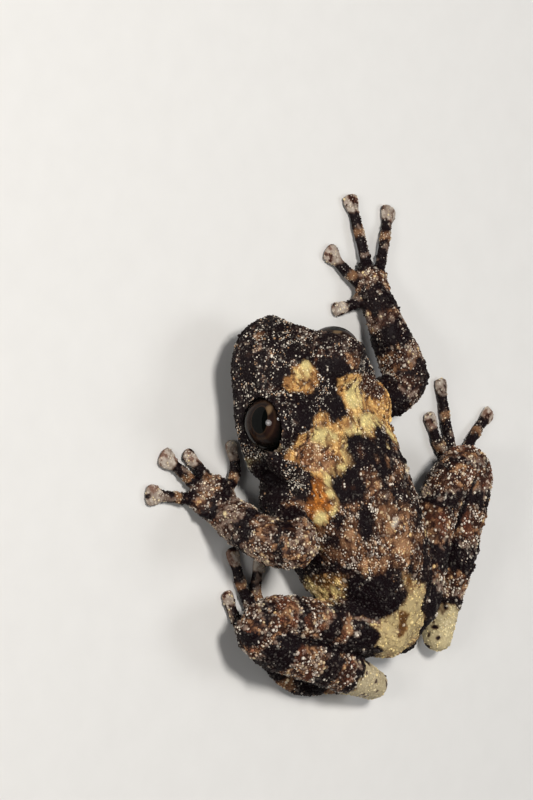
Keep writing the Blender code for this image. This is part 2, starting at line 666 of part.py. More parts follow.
def main():
    clear_scene()
    body = one_body()
    face_details(body)
    part_the_flesh(body)
    made = separate(body)
    for name, thing in made.items():
        kind = name.replace("_left", "").replace("_right", "").rstrip("_1234567890")
        thin_out(thing, FACES[kind])
    placed = head_matrix()
    for side, word in ((-1, "left"), (1, "right")):
        eye = ball("eye_" + word, eye_point(side), (EYE_RADIUS,) * 3, 24, 14)
        eye.data.transform(placed)
        made[eye.name] = eye
    low = Vector((1e9, 1e9, 1e9))
    high = -low
    for thing in made.values():
        for v in thing.data.vertices:
            low = Vector(map(min, low, v.co))
            high = Vector(map(max, high, v.co))
    middle = (low + high) / 2
    turn = Matrix.Rotation(math.pi, 4, "Z")
    place = Matrix.Scale(MM, 4) @ turn @ Matrix.Translation((-middle.x, -middle.y, -low.z))
    for name, thing in made.items():
        thing.data.transform(place)
        for face in thing.data.polygons:
            face.use_smooth = True
        if name.startswith("eye"):
            paint(thing, EYE, EYE_ROUGHNESS)
        else:
            paint(thing, PALE if name == "torso" else SKIN, SKIN_ROUGHNESS)


main()
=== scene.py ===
import math

import bmesh
import bpy
import numpy as np
from mathutils import Matrix, Quaternion, Vector


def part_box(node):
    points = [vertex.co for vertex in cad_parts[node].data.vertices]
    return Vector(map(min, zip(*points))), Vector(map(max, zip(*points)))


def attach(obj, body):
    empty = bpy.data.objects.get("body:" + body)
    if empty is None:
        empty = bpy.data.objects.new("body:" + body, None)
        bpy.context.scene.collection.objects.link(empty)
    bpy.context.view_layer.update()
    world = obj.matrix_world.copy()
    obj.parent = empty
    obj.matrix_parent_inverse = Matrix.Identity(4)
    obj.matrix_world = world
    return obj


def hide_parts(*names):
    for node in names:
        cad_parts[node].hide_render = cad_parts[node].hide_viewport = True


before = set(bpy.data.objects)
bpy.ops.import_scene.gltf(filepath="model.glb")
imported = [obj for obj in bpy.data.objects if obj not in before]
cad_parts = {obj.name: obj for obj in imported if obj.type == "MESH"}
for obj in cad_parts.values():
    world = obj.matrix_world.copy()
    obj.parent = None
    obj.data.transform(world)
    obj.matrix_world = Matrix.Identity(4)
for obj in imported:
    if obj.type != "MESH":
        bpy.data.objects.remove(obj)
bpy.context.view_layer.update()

MM = 0.001

# Fineness of the skin
BASE_VOXEL = 0.2
BASE_SMOOTHING = 7
SKIN_VOXEL = 0.145
SKIN_SMOOTHING = 2
SKIN_FACES = 190000
LOWEST = 0.004

# Head, in its own axes from the middle of the neck
NECK = (0.53, 18.9, 4.7)
HEAD_TURN = (-1.0, -2.0, 7.3)
EYE_RADIUS = 2.2
EYE_AT = (4.25, 4.95, 1.3)
EYE_AXIS = (0.87, 0.48, 0.15)
GAZE = (0.66, 0.68, 0.3)
LID_RADIUS = 2.85
LID_INSET = 0.92
LID_RIM = 2.25
LID_RIM_FORWARD = 0.88
CORNER_BACK = 0.3
SOCKET_SIZE = (2.36, 2.22, 2.25)
SOCKET_OUT = 0.24
UPPER_LID = 2.08
UPPER_LID_FORWARD = 1.2
UPPER_LID_STEPS = 17
UPPER_LID_THICK = 0.22
EAR_AT = (5.2, 1.2, 0.1)
EAR_RADIUS = 1.15
EARDRUM_SIZE = (1.2, 0.95, 0.95)
NOSTRIL_AT = (1.42, 10.4, 0.5)
HEAD_POWER = 2.2
HEAD_WAIST = 0.3
# Forward place, half width, top, underside
HEAD_ROWS = [(-3.0, 5.6, 2.7, -2.9), (-0.5, 6.0, 2.9, -2.85), (1.5, 6.35, 3.05, -2.8),
             (3.5, 6.2, 3.1, -2.75),
             (5.5, 5.45, 2.95, -2.65), (7.2, 4.25, 2.4, -2.45), (8.6, 3.45, 2.0, -2.2),
             (9.6, 2.95, 1.55, -1.95),
             (10.15, 2.45, 1.05, -1.6), (10.6, 1.6, 0.6, -1.3)]
SHOULDER = (6.4, 18.2, 4.6)
SHOULDER_SIZE = (2.1, 2.7, 2.0)
SIDE = (5.7, 15.0, 4.4)
SIDE_SIZE = (1.75, 3.6, 1.95)
TEMPLE = (5.3, 2.3, 1.5)
TEMPLE_SIZE = (1.35, 2.2, 1.1)
TORSO_MIDDLE = 0.53
TORSO_POWER = 2.6
TORSO_WAIST = 0.38
# Forward place, half width, top, underside
TORSO_ROWS = [(-1.4, 0.9, 4.6, 2.8), (0.2, 2.8, 5.8, 2.0), (3.2, 4.4, 7.2, 1.2), (7.2, 5.6, 8.1, 0.65),
              (11.2, 6.15, 8.3, 0.6), (15.2, 6.4, 8.1, 1.1), (17.6, 6.3, 7.75, 1.7), (20.2, 5.5, 7.2, 2.2),
              (22.0, 4.6, 6.6, 2.6)]

# Limbs, each row a place and the half width and half height there
ARMS = {
    "right": [(3.6, 17.4, 3.1, 1.9, 1.8), (5.8, 17.3, 3.05, 1.72, 1.7), (9.2, 16.9, 3.05, 1.6, 1.55),
              (11.9, 16.3, 3.15, 1.75, 1.65), (13.1, 16.7, 3.1, 1.9, 1.8), (13.5, 18.2, 2.85, 1.85, 1.75),
              (14.1, 20.6, 2.3, 1.6, 1.55), (14.75, 22.3, 1.75, 1.45, 1.35), (15.15, 23.3, 1.4, 1.45, 1.2),
              (15.7, 24.3, 1.1, 1.75, 1.0), (16.2, 25.0, 0.9, 1.6, 0.7)],
    "left": [(-3.4, 17.3, 2.8, 1.8, 1.8), (-5.0, 16.5, 3.6, 1.7, 1.7), (-7.0, 15.2, 5.6, 1.65, 1.65),
             (-8.2, 14.6, 6.75, 1.8, 1.8), (-8.9, 14.95, 6.6, 1.85, 1.85), (-9.35, 15.6, 5.7, 1.8, 1.8),
             (-9.55, 16.5, 4.3, 1.7, 1.7), (-9.45, 17.6, 2.8, 1.6, 1.6), (-9.3, 18.6, 1.75, 1.6, 1.35),
             (-9.4, 19.8, 1.2, 1.95, 1.0), (-9.5, 20.6, 0.9, 1.7, 0.66)],
}
LEGS = {
    "right": [(2.2, 1.4, 4.5, 2.2, 2.1), (6.0, 4.2, 4.5, 2.0, 1.95), (9.2, 6.2, 4.2, 1.85, 1.85),
              (12.4, 7.2, 4.0, 1.75, 1.75), (14.2, 7.3, 3.9, 1.8, 1.75), (14.95, 6.4, 3.8, 1.95, 1.8),
              (13.4, 4.9, 3.75, 2.1, 1.9), (11.6, 3.1, 3.6, 2.05, 1.8), (9.9, 0.8, 3.2, 1.8, 1.55),
              (7.7, -1.9, 2.5, 1.4, 1.35), (5.75, -4.4, 1.85, 1.25, 1.3)],
    "left": [(-1.2, 1.4, 4.5, 2.2, 2.1), (-5.15, 4.65, 4.6, 2.0, 1.95), (-8.97, 7.87, 4.4, 1.8, 1.8),
             (-11.9, 9.8, 4.1, 1.7, 1.7), (-13.2, 9.8, 3.95, 1.6, 1.6), (-12.8, 8.5, 3.9, 1.65, 1.65),
             (-10.6, 5.8, 3.75, 1.75, 1.75), (-8.1, 3.2, 3.6, 1.8, 1.7), (-5.0, -0.4, 3.0, 1.6, 1.5),
             (-2.85, -2.8, 2.1, 1.3, 1.35)],
}
FEET = {
    "right": [(6.2, -3.9, 1.25, 1.1, 1.0), (8.8, -1.8, 0.85, 1.15, 0.68), (12.9, 0.8, 0.8, 1.1, 0.62),
              (14.6, 2.9, 0.72, 1.3, 0.6), (15.9, 4.9, 0.68, 1.55, 0.56), (16.7, 6.4, 0.62, 1.35, 0.5)],
    "left": [(-3.1, -2.4, 1.3, 1.1, 1.0), (-5.8, -0.4, 0.85, 1.15, 0.68), (-9.3, 2.2, 0.8, 1.1, 0.62),
             (-10.0, 4.6, 0.72, 1.3, 0.6), (-10.1, 6.8, 0.68, 1.55, 0.56), (-10.1, 8.2, 0.62, 1.35, 0.5)],
}
# Digits from the root to the middle of the pad
DIGITS = {
    "finger_1_right": [(14.6, 23.8, 0.95), (13.0, 23.75, 0.75), (11.67, 24.17, 0.33)],
    "finger_2_right": [(14.6, 24.7, 0.85), (13.9, 26.6, 0.65), (13.5, 28.4, 0.33)],
    "finger_3_right": [(16.0, 24.9, 0.8), (16.9, 27.7, 0.65), (17.9, 30.8, 0.33)],
    "finger_4_right": [(17.0, 24.2, 0.8), (19.3, 26.1, 0.65), (21.4, 27.75, 0.33)],
    "finger_1_left": [(-8.6, 19.2, 0.95), (-6.3, 19.15, 0.78), (-5.25, 19.95, 0.6), (-4.6, 21.3, 0.33)],
    "finger_2_left": [(-8.8, 20.4, 0.85), (-8.7, 21.9, 0.62), (-8.95, 23.2, 0.33)],
    "finger_3_left": [(-9.75, 20.6, 0.85), (-10.4, 22.6, 0.62), (-11.1, 24.4, 0.33)],
    "finger_4_left": [(-10.4, 20.0, 0.85), (-12.2, 21.5, 0.62), (-13.92, 22.8, 0.33)],
    "toe_1_right": [(14.9, 3.7, 0.6), (14.0, 4.3, 0.5), (13.1, 4.5, 0.33)],
    "toe_2_right": [(15.4, 5.2, 0.6), (14.6, 6.0, 0.5), (13.9, 6.3, 0.33)],
    "toe_3_right": [(16.2, 6.2, 0.6), (16.0, 8.9, 0.55), (16.5, 10.66, 0.33)],
    "toe_4_right": [(16.9, 6.3, 0.6), (18.0, 10.0, 0.55), (19.2, 12.3, 0.33)],
    "toe_5_right": [(17.2, 5.6, 0.6), (20.3, 6.6, 0.55), (23.0, 6.95, 0.33)],
    "toe_1_left": [(-9.3, 5.4, 0.6), (-8.0, 5.7, 0.5), (-7.0, 5.8, 0.33)],
    "toe_2_left": [(-9.2, 7.0, 0.6), (-7.9, 8.0, 0.5), (-7.1, 8.2, 0.33)],
    "toe_3_left": [(-9.3, 7.9, 0.6), (-8.5, 10.6, 0.55), (-6.9, 11.8, 0.33)],
    "toe_4_left": [(-10.0, 8.4, 0.6), (-9.75, 11.6, 0.55), (-9.0, 14.1, 0.33)],
    "toe_5_left": [(-10.9, 7.6, 0.6), (-11.7, 9.7, 0.55), (-11.3, 11.55, 0.33)],
}
SHAFT = 0.48
PAD_WIDTH = {"finger": 1.02, "toe": 0.86, "small": 0.74}
SMALL_PADS = ("finger_1_left", "finger_1_right", "finger_2_left", "toe_1_left", "toe_1_right", "toe_2_left",
              "toe_2_right", "toe_5_left")
PAD_HEIGHT = 0.37

# Warts raised in the skin itself: spacing and height
WARTS = (1.1, 0.3)
PEBBLES = (0.55, 0.08)
WART_SINK = 0.04
# Granules on the skin: spacing, least and greatest radius, and how often they are white
FINE_GRANULES = {"head": (0.15, 0.07, 0.15, 1.0), "body": (0.16, 0.07, 0.14, 1.0),
                 "arms": (0.165, 0.07, 0.14, 1.0), "legs": (0.186, 0.075, 0.15, 1.0)}
COARSE_GRANULES = {region: (0.55, 0.11, 0.21, 0.5) for region in FINE_GRANULES}
FINE_SEED, COARSE_SEED = 3, 13
PALE_SEED, SHADE_SEED, STRETCH_SEED = 5, 6, 9
SCATTER_CROWDING = 3.0
STRETCH_LOW, STRETCH_HIGH = (0.65, 0.65, 0.7), (1.7, 1.3, 1.3)
GRANULE_INPUTS = {"Geometry": "Geometry", "Spacing": "Float", "Least radius": "Float",
                  "Greatest radius": "Float", "Whiteness": "Float", "Seed": "Int", "Region": "Float"}
# Radius, height and nearness to the tip of each ring of one granule
GRANULE_RINGS = ((1.0, -0.25, 0.0), (0.86, 0.35, 0.4), (0.42, 0.72, 0.85))
GRANULE_TOP = 0.8
GRANULE_SIDES = 5
COAT_PATCH = 0.0015
PATCH_RINGS = (1.0, 0.7, 0.4, 0.0)

# Colours of the skin, as eight-bit screen values, each with the share of its granules that are white
TONES = {
    "black": (15, 4, 7, 0.05), "dusk": (28, 14, 15, 0.26), "bark": (58, 38, 30, 0.45),
    "brown": (104, 68, 48, 0.75),
    "tan": (206, 160, 118, 0.7), "orange": (236, 148, 56, 0.3), "amber": (255, 204, 126, 0.6),
    "cream": (255, 230, 158, 0.5), "straw": (255, 236, 164, 0.5), "ash": (186, 174, 160, 0.8),
    "white": (240, 230, 214, 1.0), "olive": (234, 212, 156, 0.1), "ochre": (156, 112, 52, 0.1),
    "rust": (140, 80, 56, 0.3), "moss": (176, 172, 132, 0.5), "belly": (84, 72, 68, 0.05),
    "net": (32, 24, 21, 0.95), "russet": (146, 82, 38, 0.3), "umber": (78, 42, 24, 0.3),
}

# Colours of the eye
PUPIL = (0.0012, 0.0016, 0.0014)
IRIS_DARK = (0.008, 0.0045, 0.004)
IRIS_COPPER = (0.016, 0.008, 0.006)
IRIS_WARM = (0.028, 0.012, 0.009)
IRIS_FLECK = (0.052, 0.028, 0.014)
IRIS_WEDGE = (0.17, 0.11, 0.06)
# Half length and half height of each oval of the eye, and where it lies if not in the middle
WARM_OVAL = (0.9, 0.55, -0.6, 0.95)
WEDGE_OVAL = (0.4, 0.28, 0.8, 0.62)
RING_OVAL = (1.12, 0.77)
PUPIL_OVAL = (1.06, 0.71)
OFF_IRIS = 9.0

# Textures, as repeats in a metre, and the height of the fine bumps in metres
GRAIN_SCALE = 1500.0
CELL_SCALE = 4800.0
IRIS_GRAIN_SCALE = 2200.0
IRIS_FLECK_SCALE = 5200.0
FLOOR_SCALE = 400.0
BUMP_HEIGHT = 0.00005

# Studio, in metres: each lamp has a place, a size, a power and a tint
FLOOR_HALF = 1.5
FLOOR_LIGHT, FLOOR_DARK = (0.74, 0.73, 0.71), (0.7, 0.69, 0.67)
SKY_COLOUR, SKY_STRENGTH = (0.85, 0.87, 0.9, 1.0), 0.16
LAMPS = {
    "key_light": ((0.05, -0.12, 0.26), 0.06, 0.66, (1.0, 0.97, 0.93)),
    "side_light": ((0.2, -0.13, 0.12), 0.05, 0.16, (1.0, 0.98, 0.95)),
    "glint_light": ((0.2, -0.13, 0.125), 0.11, 0.7, (1.0, 0.98, 0.95)),
    "back_light": ((-0.16, 0.1, 0.2), 0.12, 0.18, (0.96, 0.98, 1.0)),
}
GLINT_LAMP = "glint_light"

# Camera, as fitted to the photograph: the aim is a place in the frog's axes and where it lies in the picture
IMAGE = (533, 800)
AIM = (0.0, 12.0, 3.0)
AIM_PIXEL = (333.49, 513.28)
PIXELS_PER_MM = 12.482
CAMERA_TURN = 33.96
CAMERA_HEIGHT = 43.39
CAMERA_ROLL = -23.98
CAMERA_FAR = 260.0
SENSOR = 36.0
CAMERA_CLIP = (0.01, 5.0)


# Shapes

def new_object(name, mesh):
    made = bpy.data.objects.new(name, mesh)
    bpy.context.scene.collection.objects.link(made)
    return made


def along(rows, count):
    """Rows of numbers along a line, filled in smoothly to the given count."""
    a = np.array(rows, float)
    step = np.linalg.norm(np.diff(a[:, :3], axis=0), axis=1)
    t = np.concatenate([[0.0], np.cumsum(step)])
    slope = np.gradient(a, t, axis=0)
    s = np.linspace(0.0, t[-1], count)
    i = np.clip(np.searchsorted(t, s, side="right") - 1, 0, len(a) - 2)
    h = (t[i + 1] - t[i])[:, None]
    u = (s - t[i])[:, None] / h
    return (a[i] * (2 * u**3 - 3 * u**2 + 1) + slope[i] * h * (u**3 - 2 * u**2 + u)
            + a[i + 1] * (3 * u**2 - 2 * u**3) + slope[i + 1] * h * (u**3 - u**2))


def skin_rings(name, rings, front, back):
    """A closed mesh over a row of rings, closed by a point at each end."""
    bm = bmesh.new()
    made = [[bm.verts.new(p) for p in ring] for ring in rings]
    n = len(made[0])
    for a, b in zip(made, made[1:]):
        for k in range(n):
            bm.faces.new((a[k], a[(k + 1) % n], b[(k + 1) % n], b[k]))
    for ring, tip in ((made[0], back), (made[-1], front)):
        pole = bm.verts.new(tip)
        for k in range(n):
            bm.faces.new((ring[k], ring[(k + 1) % n], pole))
    bmesh.ops.recalc_face_normals(bm, faces=bm.faces)
    mesh = bpy.data.meshes.new(name)
    bm.to_mesh(mesh)
    bm.free()
    return new_object(name, mesh)


def tube(name, rows, around=20, blunt=0.8):
    """A limb: oval rings along a line, with rounded ends."""
    rows = np.array(rows, float)
    p = rows[:, :3]
    t = np.gradient(p, axis=0)
    t /= np.linalg.norm(t, axis=1)[:, None]
    ends = []
    for e, sign in ((0, -1.0), (-1, 1.0)):
        cap = []
        reach = blunt * min(rows[e, 3], rows[e, 4])
        for a in (0.5, 0.95, 1.3):
            cap.append((p[e] + sign * t[e] * reach * math.sin(a), t[e],
                        rows[e, 3] * math.cos(a), rows[e, 4] * math.cos(a)))
        ends.append((cap, p[e] + sign * t[e] * reach))
    middle = [(p[i], t[i], rows[i, 3], rows[i, 4]) for i in range(len(p))]
    rings = []
    up = np.array([0.0, 0.0, 1.0])
    angle = np.linspace(0, 2 * math.pi, around, endpoint=False)
    for c, d, w, h in ends[0][0][::-1] + middle + ends[1][0]:
        side = np.cross(d, up)
        if np.linalg.norm(side) < 0.05:
            side = np.array([1.0, 0.0, 0.0])
        side /= np.linalg.norm(side)
        lift = np.cross(side, d)
        rings.append([c + side * w * math.cos(a) + lift * h * math.sin(a) for a in angle])
    return skin_rings(name, rings, ends[1][1], ends[0][1])


def oval_ring(y, middle, half, top, under, power, waist, around):
    """A rounded ring across the body, widest at the waist share of its height and squarer below."""
    z0 = under + (top - under) * waist
    ring = []
    for a in np.linspace(0, 2 * math.pi, around, endpoint=False):
        c, s = math.cos(a), math.sin(a)
        k = power if s > 0 else power + 0.5
        x = math.copysign(abs(c) ** (2 / k), c) * half
        z = math.copysign(abs(s) ** (2 / k), s) * ((top - z0) if s > 0 else (z0 - under))
        ring.append((middle + x, y, z0 + z))
    return ring


def trunk(name, table, middle, power, waist, around=40, count=26):
    rows = along([(r[0], 0, 0, r[1], r[2], r[3]) for r in table], count)
    rings = [oval_ring(r[0], middle, r[3], r[4], r[5], power, waist, around) for r in rows]
    first, last = rows[0], rows[-1]
    back = (middle, first[0] - 0.45, (first[4] + first[5]) / 2)
    front = (middle, last[0] + 0.35, (last[4] + last[5]) / 2)
    return skin_rings(name, rings, front, back)


def ball(name, centre, radii, segments=32, rings=18):
    bm = bmesh.new()
    bmesh.ops.create_uvsphere(bm, u_segments=segments, v_segments=rings, radius=1.0)
    bmesh.ops.scale(bm, vec=Vector(radii), verts=bm.verts)
    bmesh.ops.translate(bm, vec=Vector(centre), verts=bm.verts)
    mesh = bpy.data.meshes.new(name)
    bm.to_mesh(mesh)
    bm.free()
    return new_object(name, mesh)


def head_matrix():
    turn = Vector([math.radians(v) for v in HEAD_TURN])
    return Matrix.Translation(Vector(NECK)) @ Quaternion(turn.normalized(), turn.length).to_matrix().to_4x4()


def head_half(y, z):
    """Half width of the head at a place along it and a height on it."""
    table = np.array(HEAD_ROWS)
    half, top, under = (np.interp(y, table[:, 0], table[:, k]) for k in (1, 2, 3))
    z0 = under + (top - under) * HEAD_WAIST
    room, power = ((top - z0), HEAD_POWER) if z > z0 else ((z0 - under), HEAD_POWER + 0.5)
    return half * max(0.0, 1 - (abs(z - z0) / room) ** power) ** (1 / power)


def lip_line(lift, out):
    """Points along the line of the mouth from one corner round the snout to the other."""
    side = []
    for y, z in ((1.3, -1.8), (2.6, -1.72), (4.2, -1.64), (5.6, -1.54), (7.0, -1.45), (8.2, -1.37),
                 (9.2, -1.3),
                 (9.9, -1.25)):
        side.append((head_half(y, z + lift) + out, y, z + lift))
    back = 0.55 * min(0.0, lift)
    side.append((1.35, 10.6 + out + back, -1.2 + lift))
    left = [(-x, y, z) for x, y, z in side]
    return side + [(0.0, 10.95 + out + back, -1.18 + lift)] + left[::-1]


def eye_point(side, out=0.0):
    """The middle of one eye, or a point moved out along the way its socket faces."""
    axis = Vector(EYE_AXIS).normalized() * out
    return (side * (EYE_AT[0] + axis.x), EYE_AT[1] + axis.y, EYE_AT[2] + axis.z)


def head_pieces():
    """The head with its brows and the mounds over the eyes, in the head's own axes."""
    made = [trunk("head", HEAD_ROWS, 0.0, HEAD_POWER, HEAD_WAIST)]
    for side in (-1, 1):
        made.append(ball("lid", eye_point(side, -LID_INSET), (LID_RADIUS, LID_RADIUS, LID_RADIUS * 0.97)))
        brow = [(side * 3.3, 6.9, 1.3, 0.9, 0.7), (side * 2.5, 8.2, 1.05, 0.85, 0.6),
                (side * 1.8, 9.4, 0.7, 0.7, 0.5)]
        made.append(tube("brow", along(brow, 8)))
        made.append(ball("temple", (side * TEMPLE[0], TEMPLE[1], TEMPLE[2]), TEMPLE_SIZE))
    return made


def eye_ways(side):
    """The way a socket faces, its level way and its upward way."""
    axis = Vector((side * EYE_AXIS[0], EYE_AXIS[1], EYE_AXIS[2])).normalized()
    level = Vector((0, 0, 1)).cross(axis).normalized()
    return axis, level, axis.cross(level)


def eye_ring(side, forward, radius, thick):
    """Points round the socket, thicker above than below and further back at the corners of the eye."""
    axis, across, up = eye_ways(side)
    ring = []
    for a in np.linspace(0, 2 * math.pi, 33):
        middle = Vector(eye_point(side)) + axis * (forward - CORNER_BACK * math.cos(a) ** 2)
        p = middle + across * radius * math.cos(a) + up * radius * math.sin(a)
        w = thick * (1.0 + 0.3 * math.sin(a))
        ring.append((*p, w, w))
    return ring


def face_trim():
    """Eyelids, folds, lips and the rims of ears and nostrils, in the head's own axes."""
    made = []
    for side in (-1, 1):
        made.append(tube("lid_rim", eye_ring(side, LID_RIM_FORWARD, LID_RIM, 0.23), around=12))
        upper_lid = eye_ring(side, UPPER_LID_FORWARD, UPPER_LID, UPPER_LID_THICK)[:UPPER_LID_STEPS]
        made.append(tube("upper_lid", upper_lid, around=12))
        fold = []
        for y, z, w in ((2.9, 1.9, 0.2), (2.1, 1.85, 0.3), (1.1, 1.7, 0.33), (0.1, 1.35, 0.33),
                        (-0.7, 0.6, 0.3),
                        (-1.1, -0.4, 0.2)):
            fold.append((side * (head_half(y, z) - 0.02), y, z, w, w))
        made.append(tube("fold", along(fold, 16), around=12))
        ring = []
        for a in np.linspace(0, 2 * math.pi, 25):
            y = EAR_AT[1] + EAR_RADIUS * math.cos(a)
            z = EAR_AT[2] + EAR_RADIUS * math.sin(a)
            ring.append((side * (head_half(y, z) + 0.04), y, z, 0.2, 0.2))
        made.append(tube("ear_rim", ring, around=8))
        nx, ny, nz = NOSTRIL_AT
        made.append(ball("nostril_rim", (side * (nx - 0.05), ny - 0.1, nz), (0.45, 0.42, 0.4), 16, 10))
    lip = [(x, y, z, 0.26, 0.26) for x, y, z in lip_line(0.42, -0.02)]
    made.append(tube("upper_lip", along(lip, 46), around=10))
    lip = [(x, y, z, 0.24, 0.22) for x, y, z in lip_line(-0.34, -0.14)]
    made.append(tube("lower_lip", along(lip, 46), around=10))
    return made


def digit_rows(points, pad):
    """Rows along a digit: a slim shaft, then a wide pad with a blunt end."""
    rows = along([p + (0.0, 0.0) for p in points], 24)[:, :3]
    left = np.linalg.norm(np.diff(rows, axis=0), axis=1)
    rest = np.concatenate([np.cumsum(left[::-1])[::-1], [0.0]])
    made = []
    for p, r in zip(rows, rest):
        k = min(1.0, max(0.0, (1.25 - r) / 1.0))
        k = k * k * (3 - 2 * k)
        more = 0.05 * math.exp(-((r - 2.2) / 0.45) ** 2) + 0.09 * r / rest[0]
        wide = SHAFT * 0.95 + more + (pad - SHAFT) * k
        high = SHAFT * 0.9 + more + (PAD_HEIGHT - SHAFT) * k
        made.append((*p, wide, high))
    d = rows[-1] - rows[-2]
    d /= np.linalg.norm(d)
    d[2] = 0.0
    made.append((*(rows[-1] + d * 0.3), pad * 0.97, PAD_HEIGHT * 0.97))
    return made


def pad_size(name):
    return PAD_WIDTH["small" if name in SMALL_PADS else name.split("_")[0]]


def flesh_pieces():
    """Every soft piece of the frog as closed, overlapping solids."""
    made = head_pieces()
    for piece in made:
        piece.data.transform(head_matrix())
    made.append(trunk("torso", TORSO_ROWS, TORSO_MIDDLE, TORSO_POWER, TORSO_WAIST))
    made.append(ball("shoulder", SHOULDER, SHOULDER_SIZE))
    made.append(ball("side", SIDE, SIDE_SIZE))
    for table in (ARMS, LEGS, FEET):
        for rows in table.values():
            made.append(tube("limb", along(rows, 12 * len(rows) // 2)))
    for name, points in DIGITS.items():
        made.append(tube("digit", digit_rows(points, pad_size(name)), around=16, blunt=0.9))
    return made


def join(name, pieces):
    bm = bmesh.new()
    for piece in pieces:
        bm.from_mesh(piece.data)
        bpy.data.objects.remove(piece, do_unlink=True)
    mesh = bpy.data.meshes.new(name)
    bm.to_mesh(mesh)
    bm.free()
    return new_object(name, mesh)


def settle(thing):
    """Gives the object the mesh that its modifiers make, and removes them."""
    graph = bpy.context.evaluated_depsgraph_get()
    graph.update()
    mesh = bpy.data.meshes.new_from_object(thing.evaluated_get(graph))
    thing.modifiers.clear()
    thing.data = mesh


def remesh(thing, size, smoothing):
    grid = thing.modifiers.new("one_skin", "REMESH")
    grid.mode = "VOXEL"
    grid.voxel_size = size
    soften(thing, smoothing)
    settle(thing)


def soften(thing, times):
    soft = thing.modifiers.new("soft", "SMOOTH")
    soft.factor = 0.5
    soft.iterations = times


def cut(thing, cutter):
    knife = thing.modifiers.new("cut", "BOOLEAN")
    knife.operation = "DIFFERENCE"
    knife.solver = "MANIFOLD"
    knife.object = cutter
    settle(thing)
    bpy.data.objects.remove(cutter, do_unlink=True)


def sink_face_details(body):
    """Ear dishes, nostril pits and the line of the mouth, sunk into the flesh."""
    tools = []
    for side in (-1, 1):
        socket = ball("socket", (0, 0, 0), SOCKET_SIZE)
        axis, level, up = eye_ways(side)
        socket.data.transform(Matrix((level, up, axis)).transposed().to_4x4())
        socket.data.transform(Matrix.Translation(eye_point(side, SOCKET_OUT)))
        tools.append(socket)
        x = side * (head_half(EAR_AT[1], EAR_AT[2]) + 0.75)
        dish = EAR_RADIUS * 0.82
        tools.append(ball("ear_dish", (x, EAR_AT[1], EAR_AT[2]), (1.0, dish, dish), 20, 12))
        nx, ny, nz = NOSTRIL_AT
        tools.append(ball("pit", (side * (nx + 0.12), ny + 0.3, nz + 0.12), (0.2, 0.4, 0.2), 12, 8))
    line = [(x, y, z, 0.42, 0.13) for x, y, z in lip_line(0.0, 0.08)]
    tools.append(tube("mouth_line", along(line, 44), around=8, blunt=0.5))
    for tool in tools:
        tool.data.transform(head_matrix())
        cut(body, tool)


def one_body():
    """All the soft pieces grown into one skin, first the large forms and then the trim of the face."""
    body = join("skin", flesh_pieces())
    remesh(body, BASE_VOXEL, BASE_SMOOTHING)
    trim = face_trim()
    for piece in trim:
        piece.data.transform(head_matrix())
    body = join("skin", [body] + trim)
    remesh(body, SKIN_VOXEL, SKIN_SMOOTHING)
    sink_face_details(body)
    soften(body, 1)
    settle(body)
    fewer = body.modifiers.new("fewer", "DECIMATE")
    body.data.calc_loop_triangles()
    fewer.ratio = min(1.0, SKIN_FACES / len(body.data.loop_triangles))
    settle(body)
    return body


# Numbers on the skin

def get_points(mesh):
    flat = np.empty(len(mesh.vertices) * 3, np.float64)
    mesh.vertices.foreach_get("co", flat)
    return flat.reshape(-1, 3)


def get_normals(mesh):
    flat = np.empty(len(mesh.vertices) * 3, np.float32)
    mesh.vertices.foreach_get("normal", flat)
    return flat.reshape(-1, 3).astype(float)


def put_points(mesh, points):
    mesh.vertices.foreach_set("co", points.astype(np.float32).ravel())
    mesh.update()


def ease(value, low, high):
    """0 below low, 1 above high and a smooth step between."""
    u = np.clip((value - low) / (high - low), 0.0, 1.0)
    return u * u * (3 - 2 * u)


def cell_number(cells, seed):
    """A fixed random number from 0 to 1 for each whole-number cell."""
    h = (cells[..., 0] * 73856093) ^ (cells[..., 1] * 19349663)
    h = h ^ (cells[..., 2] * 83492791) ^ (seed * 2654435761)
    h = (((h & 0xFFFFFFFF) ^ ((h & 0xFFFFFFFF) >> 13)) * 1274126177) & 0xFFFFFFFF
    return ((h ^ (h >> 16)) & 0xFFFFFF) / 0xFFFFFF


def cloud(points, size, seed):
    """Smooth noise from 0 to 1 with lumps of the given size."""
    p = points / size
    low = np.floor(p).astype(np.int64)
    u = p - low
    u = u * u * (3 - 2 * u)
    total = np.zeros(len(p))
    for corner in range(8):
        step = np.array([corner & 1, corner >> 1 & 1, corner >> 2 & 1])
        weight = np.prod(np.where(step, u, 1 - u), axis=1)
        total += weight * cell_number(low + step, seed)
    return total


def lumps(points, size, seed):
    """Round lumps at jittered places: how high each point stands on its lump, and a number for that lump."""
    p = points / size
    low = np.floor(p).astype(np.int64)
    height = np.zeros(len(p))
    own = np.zeros(len(p))
    for i in (-1, 0, 1):
        for j in (-1, 0, 1):
            for k in (-1, 0, 1):
                cell = low + np.array([i, j, k])
                jitter = np.stack([cell_number(cell, seed + n) for n in range(3)], axis=1)
                radius = 0.34 + 0.26 * cell_number(cell, seed + 3)
                away = np.linalg.norm(cell + 0.15 + 0.7 * jitter - p, axis=1) / radius
                here = np.clip(1 - away**2, 0.0, 1.0) * (0.6 + 0.4 * cell_number(cell, seed + 4))
                better = here > height
                height = np.where(better, here, height)
                own = np.where(better, cell_number(cell, seed + 5), own)
    return height, own


def linear(tone):
    c = np.array(TONES[tone][:3]) / 255
    return np.where(c > 0.04045, ((c + 0.055) / 1.055) ** 2.4, c / 12.92)


# Where each point of the skin lies on the frog

